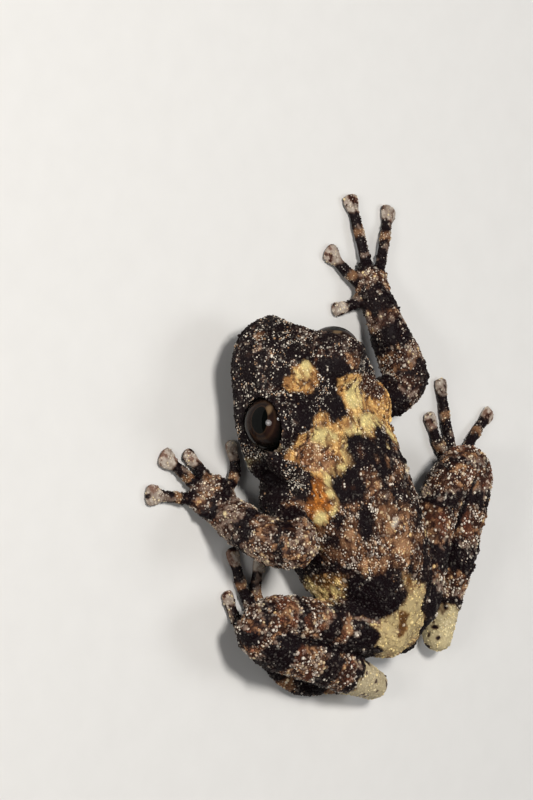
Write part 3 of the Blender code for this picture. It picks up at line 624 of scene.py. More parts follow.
def on_line(points, rows):
    """Distance from a limb's middle line in half widths, and the place along it, for each point."""
    line = along(rows, 60)
    way = np.gradient(line[:, :3], axis=0)
    way /= np.linalg.norm(way, axis=1)[:, None]
    t = np.concatenate([[0.0], np.cumsum(np.linalg.norm(np.diff(line[:, :3], axis=0), axis=1))])
    share = np.empty(len(points))
    place = np.empty(len(points))
    block = 20000
    for a in range(0, len(points), block):
        p = points[a:a + block]
        gap = np.linalg.norm(p[:, None] - line[None, :, :3], axis=2) / line[None, :, 3]
        k = gap.argmin(axis=1)
        share[a:a + block] = gap[np.arange(len(p)), k]
        place[a:a + block] = t[k] + np.sum((p - line[k, :3]) * way[k], axis=1)
    return share, place


def in_trunk(points, table, middle):
    """Distance from the middle of the head or torso in half widths."""
    rows = np.array(table)
    y = np.clip(points[:, 1], rows[0, 0], rows[-1, 0])
    half, top, under = (np.interp(y, rows[:, 0], rows[:, k]) for k in (1, 2, 3))
    x = np.abs(points[:, 0] - middle) / half
    z = np.abs(points[:, 2] - (top + under) / 2) / ((top - under) / 2)
    past = np.abs(points[:, 1] - y)
    return (x**TORSO_POWER + z**TORSO_POWER) ** (1 / TORSO_POWER) + past


def in_head_axes(points):
    back = np.array(head_matrix().inverted())
    return points @ back[:3, :3].T + back[:3, 3]


def regions(points):
    """Which part of the frog owns each point, the places along the limbs, and the points in the head's
    axes."""
    head = in_head_axes(points)
    share = {"torso": in_trunk(points, TORSO_ROWS, TORSO_MIDDLE),
             "head": in_trunk(head, HEAD_ROWS, 0.0) - 0.25}
    place = {}
    for word, table in (("arm", ARMS), ("leg", LEGS), ("foot", FEET)):
        for side, rows in table.items():
            name = word + "_" + side
            share[name], place[name] = on_line(points, rows)
    digit = np.full(len(points), 9.0)
    tip = np.full(len(points), 9.0)
    toe = np.zeros(len(points), bool)
    for name, line in DIGITS.items():
        near, at = on_line(points, digit_rows(line, pad_size(name)))
        own = near < digit
        digit = np.where(own, near, digit)
        length = float(np.sum(np.linalg.norm(np.diff(np.array(line), axis=0), axis=1)))
        tip = np.where(own, length - at, tip)
        toe = np.where(own, name.startswith("toe"), toe)
    share["digit"] = digit
    place["digit"] = tip
    names = list(share)
    best = np.argmin(np.stack([share[n] for n in names]), axis=0)
    own = {n: best == i for i, n in enumerate(names)}
    own["arms"] = own["arm_left"] | own["arm_right"] | (own["digit"] & ~toe)
    return own, place, head


# Markings

def spot(points, centre, half, soft=0.35):
    """1 inside an oval spot, fading over its edge to 0."""
    away = np.linalg.norm((points - np.array(centre)) / np.array(half), axis=1)
    return 1 - ease(away, 1 - soft, 1 + soft)


def stroke(points, path, width, deep=2.5):
    """1 along a painted line seen from above, fading over its edge and below it to 0."""
    best = np.full(len(points), 99.0)
    for a, b in zip(path, path[1:]):
        a, b = np.array(a, float), np.array(b, float)
        d = b - a
        u = np.clip(((points - a) @ d) / (d @ d), 0, 1)
        away = points - (a + u[:, None] * d)
        away[:, 2] *= width / deep
        best = np.minimum(best, np.linalg.norm(away, axis=1))
    return 1 - ease(best, 0.6 * width, 1.25 * width)


def in_outline(points, outline, low, soft=0.14):
    """1 inside an outline seen from above, fading over its edge and below a height to 0."""
    corners = np.array(outline, float)
    x, y = points[:, 0], points[:, 1]
    away = np.full(len(points), 99.0)
    within = np.zeros(len(points), bool)
    for a, b in zip(corners, np.roll(corners, -1, axis=0)):
        d = b - a
        u = np.clip(((points[:, :2] - a) @ d) / (d @ d), 0, 1)
        away = np.minimum(away, np.linalg.norm(points[:, :2] - (a + u[:, None] * d), axis=1))
        if d[1]:
            within ^= ((a[1] > y) != (b[1] > y)) & (x < a[0] + (y - a[1]) * d[0] / d[1])
    return ease(np.where(within, away, -away), -soft, soft) * ease(points[:, 2], low - 0.5, low + 0.5)


def band(value, edges, soft=0.2):
    """1 between each pair of edges and 0 elsewhere."""
    total = np.zeros(len(value))
    for low, high in edges:
        begun, ended = ease(value, low - soft, low + soft), ease(value, high - soft, high + soft)
        total = np.maximum(total, begun * (1 - ended))
    return total


# Tone, centre and half sizes of each spot, in the order painted
SPOTS = [
    ("net", (0.2, 28.6, 5.8), (2.8, 1.9, 1.8)), ("black", (-4.2, 26.4, 4.2), (1.4, 2.2, 1.1)),
    ("bark", (2.2, 27.2, 6.2), (1.6, 1.3, 1.2)), ("bark", (3.5, 25.3, 8.4), (1.8, 1.0, 1.6)),
    ("brown", (3.6, 24.0, 8.8), (0.9, 0.6, 1.4)), ("net", (-4.4, 24.4, 8.1), (1.2, 1.6, 1.4)),
    ("moss", (-6.1, 20.8, 3.5), (0.8, 0.5, 0.8)), ("black", (-5.8, 19.4, 4.1), (1.2, 1.7, 1.7)),
    ("bark", (-4.6, 18.4, 6.2), (0.8, 0.9, 1.0)), ("brown", (-5.6, 15.6, 5.4), (0.8, 1.6, 1.2)),
    ("brown", (0.6, 14.6, 8.1), (0.9, 1.5, 1.5)), ("bark", (3.3, 11.6, 8.0), (1.2, 1.5, 1.6)),
    ("tan", (0.4, 12.0, 8.3), (1.1, 0.8, 1.0)), ("brown", (0.6, 9.6, 8.3), (2.6, 2.2, 1.6)),
    ("brown", (-2.9, 9.2, 7.7), (1.3, 1.2, 1.2)), ("brown", (-3.4, 11.4, 7.6), (1.1, 1.6, 1.2)),
    ("amber", (-5.3, 8.6, 5.0), (1.3, 1.1, 1.5)), ("cream", (-5.4, 8.1, 4.4), (1.3, 1.1, 2.2)),
    ("ochre", (-5.3, 9.0, 5.0), (0.9, 0.6, 0.9)), ("brown", (-0.1, 28.4, 6.1), (0.5, 0.4, 0.6)),
    ("brown", (-1.2, 29.3, 5.0), (0.4, 0.35, 0.5)), ("moss", (-6.2, 22.1, 7.0), (0.45, 0.35, 0.5)),
]
# Tone, lowest height and outline seen from above of each larger mark, in the order painted
OUTLINES = [
    ("net", 4.8, [(-1.4, 29.4), (0.8, 28.8), (2.2, 26.6), (1.2, 25.6), (-1.2, 26.4), (-2.4, 25.8),
        (-3.2, 24.8), (-4.8, 24.4), (-4.7, 25.6), (-4.4, 26.4), (-3.9, 27.2), (-3.2, 28.0)]),
    ("net", 6.0, [(-0.1, 24.5), (1.1, 24.3), (1.1, 23.2), (0.0, 22.3), (-0.8, 22.8), (-0.8, 23.8)]),
    ("black", 5.5, [(1.0, 22.7), (1.7, 21.8), (1.5, 20.5), (1.0, 20.4), (-0.3, 20.9), (-0.4, 21.7),
        (0.3, 22.1)]),
    ("black", 6.0, [(-3.1, 25.0), (-1.8, 24.5), (-2.0, 23.8), (-2.4, 23.3), (-2.1, 22.8), (-2.6, 22.4),
        (-2.8, 22.0), (-3.7, 22.0), (-4.1, 22.8), (-3.7, 24.1)]),
    ("black", 6.0, [(1.0, 25.4), (1.7, 25.5), (2.6, 24.6), (2.7, 23.8), (2.2, 23.4), (1.6, 23.6),
        (1.2, 23.6), (1.0, 24.3), (0.7, 24.8)]),
    ("amber", 6.0, [(-2.5, 25.5), (-2.1, 25.9), (-1.5, 26.0), (-1.0, 26.5), (-0.2, 26.1), (0.6, 25.5),
        (0.7, 25.0), (0.3, 24.6), (-0.3, 24.1), (-1.3, 24.1), (-1.7, 24.6), (-2.7, 25.0)]),
    ("cream", 6.0, [(-1.0, 26.3), (-0.3, 26.0), (0.4, 25.3), (-0.2, 24.9), (-1.0, 25.2), (-1.2, 25.7)]),
    ("amber", 4.6, [(1.5, 23.5), (2.2, 23.4), (3.3, 23.1), (4.6, 22.2), (5.6, 21.2), (6.6, 20.4),
        (8.2, 19.2), (8.8, 17.6), (7.6, 16.2), (6.2, 16.2), (5.3, 16.9), (4.8, 17.6), (4.1, 17.9),
        (3.3, 17.3), (2.3, 17.2), (2.3, 17.9), (1.7, 18.9), (0.9, 19.1), (0.4, 19.8), (0.8, 20.1),
        (1.5, 20.2), (1.6, 21.0), (1.5, 21.8), (1.4, 22.7)]),
    ("amber", 4.8, [(4.4, 18.4), (5.6, 18.0), (6.8, 16.4), (7.4, 14.6), (6.6, 14.4), (5.6, 15.2),
        (5.0, 16.4), (4.6, 17.4)]),
    ("cream", 5.5, [(2.0, 22.9), (3.7, 22.3), (5.0, 20.3), (3.5, 20.1), (2.0, 20.3), (1.9, 21.4)]),
    ("cream", 5.5, [(1.8, 20.0), (4.5, 18.6), (3.9, 17.9), (3.0, 18.3), (1.9, 19.0)]),
    ("amber", 6.0, [(-5.5, 20.9), (-5.4, 21.5), (-4.6, 22.1), (-3.7, 21.9), (-2.8, 21.9), (-2.4, 22.6),
        (-1.4, 22.3), (-0.5, 21.7), (-0.3, 20.8), (1.0, 20.4), (1.3, 19.8), (0.3, 19.1), (-0.4, 18.2),
        (-0.6, 17.1), (-1.4, 17.3), (-2.5, 17.5), (-3.4, 17.4), (-3.8, 18.1), (-4.0, 18.6), (-4.6, 19.5),
        (-4.9, 20.0)]),
    ("tan", 6.0, [(-5.0, 21.2), (-3.4, 21.4), (-1.6, 19.6), (-1.2, 18.4), (-3.0, 17.7), (-4.2, 19.0)]),
    ("brown", 4.6, [(4.6, 22.2), (5.6, 21.4), (7.0, 20.4), (7.8, 18.8), (6.2, 18.6), (5.0, 19.8),
        (4.2, 21.2)]),
    ("straw", 6.0, [(-3.4, 21.4), (-2.4, 21.6), (-1.2, 20.9), (-0.2, 19.8), (-0.5, 19.2), (-1.6, 19.7),
        (-2.8, 20.5)]),
    ("orange", 5.0, [(-3.4, 17.4), (-3.5, 16.5), (-3.2, 15.2), (-3.9, 14.7), (-4.2, 14.1), (-5.0, 13.9),
        (-5.2, 14.5), (-5.5, 15.5), (-5.2, 16.6), (-4.7, 17.2), (-3.9, 17.9)]),
    ("black", 6.0, [(0.8, 18.9), (2.0, 18.3), (2.6, 17.1), (1.7, 16.8), (1.2, 15.8), (0.3, 15.9),
        (-0.5, 16.9), (-0.1, 18.0)]),
    ("black", 6.0, [(-3.1, 17.2), (-1.9, 17.5), (-0.9, 16.8), (0.0, 16.0), (-0.2, 14.7), (-1.2, 13.9),
        (-2.3, 14.5), (-3.0, 15.1), (-3.3, 16.1)]),
    ("black", 6.0, [(-2.0, 13.7), (-0.8, 12.8), (-1.4, 11.4), (-2.8, 10.9), (-2.5, 12.3)]),
    ("black", 5.5, [(-4.3, 8.9), (-2.3, 7.9), (-1.0, 6.1), (-0.6, 4.4), (-2.2, 3.9), (-3.5, 4.1),
        (-5.1, 5.7), (-6.7, 7.3), (-4.7, 8.0)]),
    ("tan", 6.5, [(0.0, 8.3), (1.1, 8.4), (1.6, 7.4), (0.3, 6.7)]),
    ("olive", 4.0, [(0.0, 6.7), (0.4, 5.9), (0.8, 5.0), (2.2, 4.0), (1.9, 3.1), (1.2, 2.1), (1.4, 0.8),
        (1.2, -0.8), (-0.4, -0.8), (-2.3, -0.6), (-3.3, 0.2), (-3.8, 0.9), (-4.5, 2.3), (-4.2, 2.7),
        (-3.8, 2.6), (-4.0, 3.7), (-4.5, 4.8), (-5.3, 5.7), (-4.5, 5.2), (-3.7, 3.9), (-2.5, 3.8),
        (-1.5, 4.1), (-0.4, 4.1), (-0.3, 5.2), (-0.4, 6.2)]),
    ("ochre", 4.5, [(-1.4, 3.7), (-0.4, 2.7), (-1.0, 1.2), (-2.2, 1.8)]),
]
# Tone, path and half width of each painted line
STROKES = [
    ("brown", [(1.9, 25.9, 7.5), (1.3, 25.7, 7.3), (0.8, 25.4, 7.2)], 0.18),
    ("straw", [(4.3, 18.2, 7.2), (3.0, 17.7, 7.6), (1.8, 18.7, 7.6), (0.4, 19.2, 7.6), (-0.4, 18.2, 7.6),
        (-0.8, 17.3, 7.7), (-1.8, 17.5, 7.6), (-3.0, 17.4, 7.4), (-3.4, 16.4, 7.4), (-3.2, 15.4, 7.6),
        (-3.8, 14.6, 7.4)], 0.3),
    ("black", [(4.3, 17.6, 7.4), (3.3, 16.0, 7.8), (2.1, 14.7, 8.1), (1.0, 12.7, 8.3)], 0.42),
    ("black", [(4.0, 15.4, 7.7), (5.0, 14.1, 7.4), (5.6, 12.9, 7.0)], 0.3),
    ("straw", [(4.7, 18.0, 7.1), (5.1, 16.9, 7.0), (5.6, 15.7, 6.9), (6.3, 14.7, 6.5)], 0.3),
    ("net", [(-3.9, 27.7, 3.6), (-4.4, 26.6, 3.5), (-4.8, 25.5, 3.5), (-5.6, 24.5, 3.9), (-6.1, 23.4, 4.0),
        (-6.3, 22.5, 4.1), (-6.0, 21.5, 3.8)], 0.5),
    ("ash", [(-6.4, 22.1, 5.1), (-6.5, 21.6, 5.5), (-6.5, 21.6, 6.3)], 0.12),
    ("ash", [(-5.6, 20.8, 5.6), (-5.2, 20.1, 5.8), (-4.9, 19.9, 6.1)], 0.12),
    ("net", [(-4.9, 25.3, 7.9), (-5.6, 23.8, 7.9), (-5.8, 23.0, 7.8), (-5.9, 22.5, 7.8)], 0.25),
    ("net", [(-5.2, 18.6, 5.9), (-5.3, 18.0, 5.8), (-4.8, 17.4, 6.5)], 0.35),
    ("black", [(-12.4, 8.6, 5.0), (-10.1, 6.8, 4.9), (-7.6, 4.6, 4.7), (-5.1, 2.0, 4.4),
        (-3.6, 0.2, 4.0)], 0.34),
    ("black", [(13.6, 6.4, 5.2), (12.2, 5.55, 5.0), (9.9, 3.9, 4.8), (7.4, 1.9, 4.6),
        (5.6, 0.0, 4.3)], 0.26),
    ("ash", [(-3.4, 3.8, 6.7), (-4.2, 4.6, 6.6), (-5.2, 5.6, 6.4)], 0.13),
    ("ash", [(-2.2, 29.1, 4.6), (-1.75, 29.0, 5.1), (-1.9, 28.8, 5.5), (-2.5, 28.8, 5.3)], 0.1),
    ("ash", [(-12.2, 5.9, 5.1), (-11.2, 4.9, 5.1), (-10.0, 4.8, 5.3), (-8.5, 4.8, 5.3)], 0.13),
    ("black", [(-4.3, 2.1, 5.9), (-3.8, 1.3, 5.7)], 0.2),
]
# Tone, centre and half sizes of the small dots painted last
DOTS = [
    ("straw", (-4.7, 14.7, 6.8), (0.5, 0.5, 0.9)), ("brown", (-2.0, 16.0, 7.9), (0.35, 0.28, 0.6)),
    ("brown", (1.1, 17.2, 7.8), (0.4, 0.6, 0.8)), ("brown", (-1.4, 15.4, 8.0), (0.25, 0.2, 0.5)),
    ("white", (5.2, 12.6, 7.2), (0.4, 0.35, 0.6)), ("white", (0.9, 10.6, 8.3), (0.55, 0.35, 0.6)),
    ("tan", (0.7, 8.5, 8.2), (0.9, 0.7, 1.0)), ("tan", (-3.2, 9.5, 7.7), (0.45, 0.35, 0.6)),
    ("tan", (-3.5, 12.5, 7.7), (0.35, 0.3, 0.6)), ("straw", (-1.9, 20.6, 7.6), (0.8, 0.4, 0.8)),
    ("straw", (0.1, 25.8, 7.1), (0.45, 0.35, 0.8)), ("straw", (2.6, 21.2, 7.8), (0.7, 0.9, 0.9)),
    ("straw", (3.1, 18.8, 7.4), (0.7, 0.45, 0.8)), ("ash", (1.2, 13.0, 8.3), (0.35, 0.3, 0.6)),
    ("ochre", (0.2, 5.4, 7.8), (0.4, 0.5, 0.8)), ("bark", (5.4, -2.8, 2.6), (0.22, 0.22, 0.5)),
    ("bark", (5.1, -3.7, 2.6), (0.18, 0.18, 0.5)), ("black", (4.6, -4.4, 1.4), (0.4, 0.35, 0.6)),
    ("tan", (-6.4, 5.3, 6.4), (0.4, 0.5, 0.5)), ("white", (-5.9, 4.5, 6.4), (0.25, 0.3, 0.4)),
    ("white", (-2.9, 29.0, 4.2), (0.14, 0.14, 0.14)), ("white", (-3.9, 27.9, 4.3), (0.14, 0.14, 0.14)),
    ("white", (-4.4, 27.0, 4.4), (0.14, 0.14, 0.14)),
]
# Pale bars of the folded legs, by distance in mm from the heel towards the knee, and of the arms, along each
LEG_BARS = {
    "right": {"thigh": [(4.4, 5.9), (8.3, 11.0), (12.2, 14.4), (15.1, 18.5)],
              "shank": [(4.1, 5.6), (8.1, 10.8), (12.4, 14.5), (15.0, 18.5)]},
    "left": {"thigh": [(8.2, 9.3), (11.0, 13.0), (14.0, 16.3), (17.0, 18.3)],
             "shank": [(5.2, 7.0), (9.5, 12.6), (15.8, 16.8)]},
}
KNEE_ROW = 4
HEEL_REACH = {"right": 2.6, "left": 4.0}
HEEL_ASH = {"right": 0.0, "left": 0.3}
HEEL_PLACE = 20
SMOOTH_REAR = ((-1.0, 2.0, 6.4), (3.4, 2.4, 2.8))
ARM_BARS = {
    "right": {"bark": [(7.4, 8.8)], "tan": [(10.8, 12.2), (14.0, 15.3), (17.4, 18.8)]},
    "left": {"ash": [(11.5, 14.1)], "tan": [(5.8, 7.9), (8.5, 10.3), (15.3, 16.8)]},
}


class Paint:
    """The skin's points, where each lies on the frog, and the paint on them so far: a colour, the share of
    granules that are white, and how plain the skin is."""

    def __init__(self, points, normals):
        self.points, self.normals = points, normals
        self.own, self.place, self.head = regions(points)
        shift = [cloud(points, 1.1, 11 + k) + 0.6 * cloud(points, 0.4, 21 + k) - 0.8 for k in range(3)]
        self.warp = np.stack(shift, axis=1)
        self.wander = cloud(points, 0.9, 31) - 0.5 + 0.7 * (cloud(points, 0.35, 32) - 0.5)
        self.mottle = ease(cloud(points, 0.38, 58) + 0.6 * (cloud(points, 0.18, 59) - 0.5), 0.4, 0.62)
        self.plain = np.zeros(len(points))
        self.smooth_rear = spot(points, *SMOOTH_REAR)
        patch = self.patches(1.4, 41, 0.45, 0.75)
        self.colour = linear("black") + (linear("bark") - linear("black")) * patch[:, None] * 0.4
        self.frost = 0.08 + 0.25 * patch

    def patches(self, size, seed, low, high):
        """Soft patches: 0 where the noise is below low and 1 where it is above high."""
        return ease(cloud(self.points, size, seed), low, high)

    def veins(self, size, seed, low, high):
        """Thin winding lines, 1 where the noise is near its middle."""
        return 1 - ease(np.abs(cloud(self.points, size, seed) - 0.5), low, high)

    def lay(self, tone, amount):
        amount = np.clip(amount, 0, 1)
        self.colour = self.colour + (linear(tone) - self.colour) * amount[:, None]
        self.frost = self.frost + (TONES[tone][3] - self.frost) * amount


def paint_ground(skin):
    """Dusty brown on the back, and dusk with scattered white on the head."""
    own, up = skin.own, ease(skin.normals[:, 2], 0.2, 0.6)
    dusty = own["torso"] * up * ease(skin.points[:, 1], 4.0, 7.0)
    skin.lay("brown", dusty * skin.patches(0.75, 64, 0.38, 0.55) * 0.85)
    skin.lay("tan", dusty * skin.patches(0.75, 64, 0.45, 0.6) * skin.mottle * 0.5)
    skin.lay("dusk", own["head"] * 0.7)
    skin.lay("net", own["head"] * skin.patches(1.0, 42, 0.25, 0.5) * up)


def paint_heel(skin, side, from_heel, heel_part):
    """The pale, plain skin of one heel with a few dark specks."""
    reach = HEEL_REACH[side]
    pale = (1 - ease(from_heel, reach - 0.3, reach + 0.3)) * heel_part
    skin.lay("straw", pale)
    skin.lay("white", pale * 0.35)
    skin.lay("bark", pale * skin.patches(0.5, 50, 0.78, 0.84))
    skin.lay("ash", pale * HEEL_ASH[side])
    skin.plain = np.maximum(skin.plain, pale)


def paint_leg(skin, side):
    """Brown and tan bars across one folded leg, each with a broken ashy line at its lower edge."""
    leg, place = skin.own["leg_" + side], skin.place["leg_" + side]
    rows = np.array(LEGS[side])
    heel, knee = rows[-1, :2], rows[KNEE_ROW, :2]
    to_knee = np.sum(np.linalg.norm(np.diff(rows[:KNEE_ROW + 1, :3], axis=0), axis=1))
    way = (knee - heel) / np.linalg.norm(knee - heel)
    from_heel = (skin.points[:, :2] - heel) @ way + skin.wander * 1.2
    upper = ease(skin.normals[:, 2], -0.6, -0.1)
    for half, edges in LEG_BARS[side].items():
        there = (leg & ((place < to_knee) == (half == "thigh"))) * upper
        inside = band(from_heel, edges) * there
        skin.lay("brown", inside * 0.9)
        skin.lay("tan", inside * skin.patches(0.5, 43, 0.38, 0.52) * skin.mottle * 0.9)
        skin.lay("rust", inside * skin.patches(0.9, 57, 0.62, 0.75) * 0.8)
        low_edge = band(from_heel, [(e - 0.3, e + 0.15) for e, _ in edges], 0.12)
        skin.lay("ash", low_edge * there * skin.patches(0.5, 48, 0.3, 0.5) * 0.8)
    paint_heel(skin, side, from_heel, (leg | skin.own["foot_" + side]) * (place > HEEL_PLACE))


def paint_arm_and_foot(skin, side):
    """Bars along one arm, and two short tan bars on the foot of that side."""
    arm, foot = skin.own["arm_" + side], skin.own["foot_" + side]
    for tone, edges in ARM_BARS[side].items():
        where = band(skin.place["arm_" + side] + skin.wander * 1.1, edges, 0.25) * arm
        skin.lay("brown", where * 0.85)
        skin.lay(tone, where * skin.patches(0.55, 44, 0.34, 0.5) * skin.mottle * 0.85)
        skin.lay("ash", where * skin.patches(0.4, 51, 0.55, 0.68) * 0.7)
    along_foot = skin.place["foot_" + side] + skin.wander
    skin.lay("bark", band(along_foot, [(3.0, 4.4), (7.5, 9.0)]) * foot)
    skin.lay("tan", band(along_foot, [(3.3, 4.1), (8.0, 8.6)]) * foot * 0.8)


def paint_digits(skin):
    """Dark digits with one tan bar and pale, speckled pads."""
    digit, place = skin.own["digit"] * 1.0, skin.place["digit"]
    skin.lay("dusk", digit)
    skin.lay("tan", digit * band(place + skin.wander * 0.6, [(2.2, 2.8)]) * 0.7)
    pad = digit * (1 - ease(place + skin.wander * 0.4, 0.75, 1.1))
    skin.lay("bark", pad * 0.8)
    skin.lay("ash", digit * skin.patches(0.5, 63, 0.64, 0.72) * 0.6)
    skin.lay("ash", pad * skin.patches(0.5, 45, 0.34, 0.46))
    skin.lay("rust", pad * skin.patches(0.8, 46, 0.6, 0.7) * 0.5)
    skin.lay("white", pad * skin.patches(0.28, 68, 0.52, 0.62) * 0.6)


def paint_marks(skin):
    """The spots, the outlined marks and the strokes of head, back and rear, each with its own raggedness."""
    for tone, centre, half in SPOTS:
        here = spot(skin.points + skin.warp * 0.95, centre, half)
        skin.lay(tone, here)
        if tone == "brown":
            skin.lay("tan", here * skin.mottle * 0.9)
    for tone, low, outline in OUTLINES:
        skin.lay(tone, in_outline(skin.points + skin.warp * 0.45, outline, low) * ~skin.own["arms"])
    for tone, path, width in STROKES:
        skin.lay(tone, stroke(skin.points + skin.warp * 0.3, path, width))


def paint_net(skin):
    """A net of pale lines on the dark skin of the snout. Returns how much each point belongs to it."""
    dark = 1 - ease(skin.colour[:, 0], 0.08, 0.2)
    top = skin.own["head"] * ease(skin.normals[:, 2], 0.1, 0.5) * dark
    net = top * skin.veins(0.36, 66, 0.03, 0.1) * skin.patches(0.9, 67, 0.35, 0.55)
    skin.lay("ash", net * ease(skin.points[:, 1], 24.0, 26.0) * 0.4)
    return net


def paint_fine_marks(skin):
    """Russet and umber mottle in the pale skin, partly its own colour and partly painted shade of its
    creases, laid in random patches; fine lines on rear and heels; and the small dots.
    """
    rough = (1 - skin.plain) * (1 - skin.smooth_rear) * ~skin.own["digit"]
    bright = ease(skin.colour[:, 0], 0.3, 0.6) * rough
    # Russet and umber in random patches: the pale skin's own colour together with painted shade of its
    # creases.
    skin.lay("russet", bright * (1 - skin.mottle) * 0.6)
    skin.lay("umber", bright * skin.patches(0.26, 60, 0.57, 0.68) * 0.8)
    pale_rear = skin.smooth_rear * ease(skin.colour[:, 0], 0.2, 0.4)
    skin.lay("bark", skin.veins(0.32, 62, 0.02, 0.09) * np.maximum(pale_rear, skin.plain * 0.5) * 0.5)
    for tone, centre, half in DOTS:
        skin.lay(tone, spot(skin.points + skin.warp * 0.2, centre, half))


def paint_eye_edges(skin):
    """Painted shade in black on the skin next to the eyeballs, where the lids meet them, with a few white
    points.
    """
    away = [np.linalg.norm(skin.head - np.array(eye_point(side)), axis=1) for side in (-1, 1)]
    rim = 1 - ease(np.minimum(*away) - EYE_RADIUS, 0.15, 0.5)
    # Painted shade: black laid where the skin meets the eyeball.
    skin.lay("black", rim * 0.7)
    skin.lay("white", rim * skin.patches(0.35, 52, 0.62, 0.72) * 0.3)


def paint_flecks(skin):
    """Single warts in cream on the torso and in ash all over."""
    fleck, number = lumps(skin.points, 0.9, 61)
    skin.lay("cream", ease(fleck, 0.55, 0.75) * (number > 0.86) * skin.own["torso"] * 0.7)
    skin.lay("ash", ease(fleck, 0.5, 0.8) * (number < 0.12) * 0.5)


def paint_underside(skin):
    """The plain underside. Returns how far each point faces down."""
    under, torso = ease(-skin.normals[:, 2], 0.35, 0.8), skin.own["torso"]
    skin.lay("belly", under * torso * 0.9)
    skin.lay("ash", under * torso * skin.patches(1.3, 47, 0.5, 0.65) * 0.7)
    skin.lay("belly", under * ~torso * 0.5)
    return under


def markings(points, normals):
    """What each point of the skin looks like: its colour, the share of white granules, how thickly it is
    granulated, how large the granules are, and which part of the frog owns it."""
    skin = Paint(points, normals)
    own = skin.own
    paint_ground(skin)
    for side in LEG_BARS:
        paint_leg(skin, side)
    for side in ARM_BARS:
        paint_arm_and_foot(skin, side)
    paint_digits(skin)
    paint_marks(skin)
    net = paint_net(skin)
    paint_fine_marks(skin)
    paint_eye_edges(skin)
    paint_flecks(skin)
    under = paint_underside(skin)

    x, y, z = EAR_AT
    eardrum = np.maximum(*[spot(skin.head, (side * x, y, z), EARDRUM_SIZE, 0.2) for side in (-1, 1)])
    thick = 1.0 - 0.85 * under - 0.6 * skin.smooth_rear - 0.85 * eardrum - 0.55 * skin.plain
    thick = np.where(own["digit"], thick * (0.4 + 0.6 * ease(skin.place["digit"], 0.9, 1.6)), thick)
    thick = thick * ease(points[:, 2], 0.12, 0.5)
    clusters = ease(cloud(points, 0.8, 53) + 0.4 * (cloud(points, 0.35, 54) - 0.5), 0.4, 0.7)
    lace = skin.veins(0.42, 65, 0.04, 0.17)
    frost = skin.frost * (0.35 + 0.85 * clusters) * (0.25 + 1.0 * lace) * (1 - 0.95 * eardrum)
    frost = np.maximum(frost, 0.95 * net * ease(points[:, 1], 23.0, 25.5))
    thick = thick * (0.6 + 0.4 * clusters)
    size = np.where(own["head"], 0.78, np.where(own["digit"], 0.72, 1.0)) * (1 - 0.3 * skin.plain)
    return skin.colour, frost, np.clip(thick, 0, 1), size, own


def raise_warts(points, normals, thick, size, limb):
    """Moves the skin out along its normals into large and small warts, with the soles flat on the floor."""
    (large_apart, large_high), (small_apart, small_high) = WARTS, PEBBLES
    large, number = lumps(points, large_apart, 71)
    small, _ = lumps(points, small_apart, 81)
    height = large_high * large * (0.35 + 0.65 * number) * ease(size, 0.7, 1.0) + small_high * small
    height *= (0.25 + 0.75 * thick) * np.where(limb, 1.2, 1.0)
    off_floor = ease(points[:, 2], 0.05, 0.6)
    raised = points + normals * ((height - WART_SINK) * off_floor)[:, None]
    raised[:, 2] = np.maximum(raised[:, 2], LOWEST)
    return raised


def put_attribute(mesh, name, kind, values):
    """Stores one value, colour or vector for each point of a mesh."""
    if kind == "FLOAT_COLOR":
        values = np.concatenate([values, np.ones((len(values), 1))], axis=1)
    field = {"FLOAT": "value", "FLOAT_COLOR": "color", "FLOAT_VECTOR": "vector"}[kind]
    mesh.attributes.new(name, kind, "POINT").data.foreach_set(field, values.astype(np.float32).ravel())


def unwrap(thing):
    """A flat map of the skin's own shape, on the smooth skin before its warts are raised."""
    bpy.context.view_layer.objects.active = thing
    thing.select_set(True)
    thing.data.uv_layers.new(name="OFBake")
    bpy.ops.object.mode_set(mode="EDIT")
    bpy.ops.mesh.select_all(action="SELECT")
    bpy.ops.uv.smart_project(angle_limit=math.radians(70), island_margin=0.002)
    bpy.ops.object.mode_set(mode="OBJECT")
    thing.select_set(False)


# Node trees

class Nodes:
    """Adds nodes to one tree. Its values are numbers, colours or outputs of other nodes."""

    def __init__(self, tree):
        self.tree = tree

    def fill(self, node, values):
        for key, value in values.items():
            socket = node.inputs[key]
            if isinstance(value, bpy.types.NodeSocket):
                self.tree.links.new(value, socket)
            elif socket.type == "RGBA":
                socket.default_value = (*value, 1.0)
            else:
                socket.default_value = value

    def add(self, kind, values=None, **facts):
        new = self.tree.nodes.new(kind)
        for key, value in facts.items():
            setattr(new, key, value)
        self.fill(new, values or {})
        return new

    def number(self, how, a, b=0.0):
        return self.add("ShaderNodeMath", {0: a, 1: b}, operation=how).outputs[0]

    def attribute(self, name, output="Fac"):
        return self.add("ShaderNodeAttribute", attribute_name=name).outputs[output]

    def texture(self, kind, scale, **values):
        """A texture on the object's own coordinates."""
        where = self.add("ShaderNodeTexCoord").outputs["Object"]
        return self.add(kind, {"Vector": where, "Scale": scale, **values}).outputs

    def spread(self, value, low, high, to_low=0.0, to_high=1.0):
        """Turns the range from low to high into another range, and holds its ends."""
        values = {"Value": value, "From Min": low, "From Max": high, "To Min": to_low, "To Max": to_high}
        return self.add("ShaderNodeMapRange", values).outputs["Result"]

    def blend(self, amount, a, b):
        """The colour a, turned into b by the amount."""
        return self.add("ShaderNodeMix", {0: amount, 6: a, 7: b}, data_type="RGBA").outputs[2]

    def lightness(self, colour):
        return self.add("ShaderNodeRGBToBW", {0: colour}).outputs[0]


# Granules

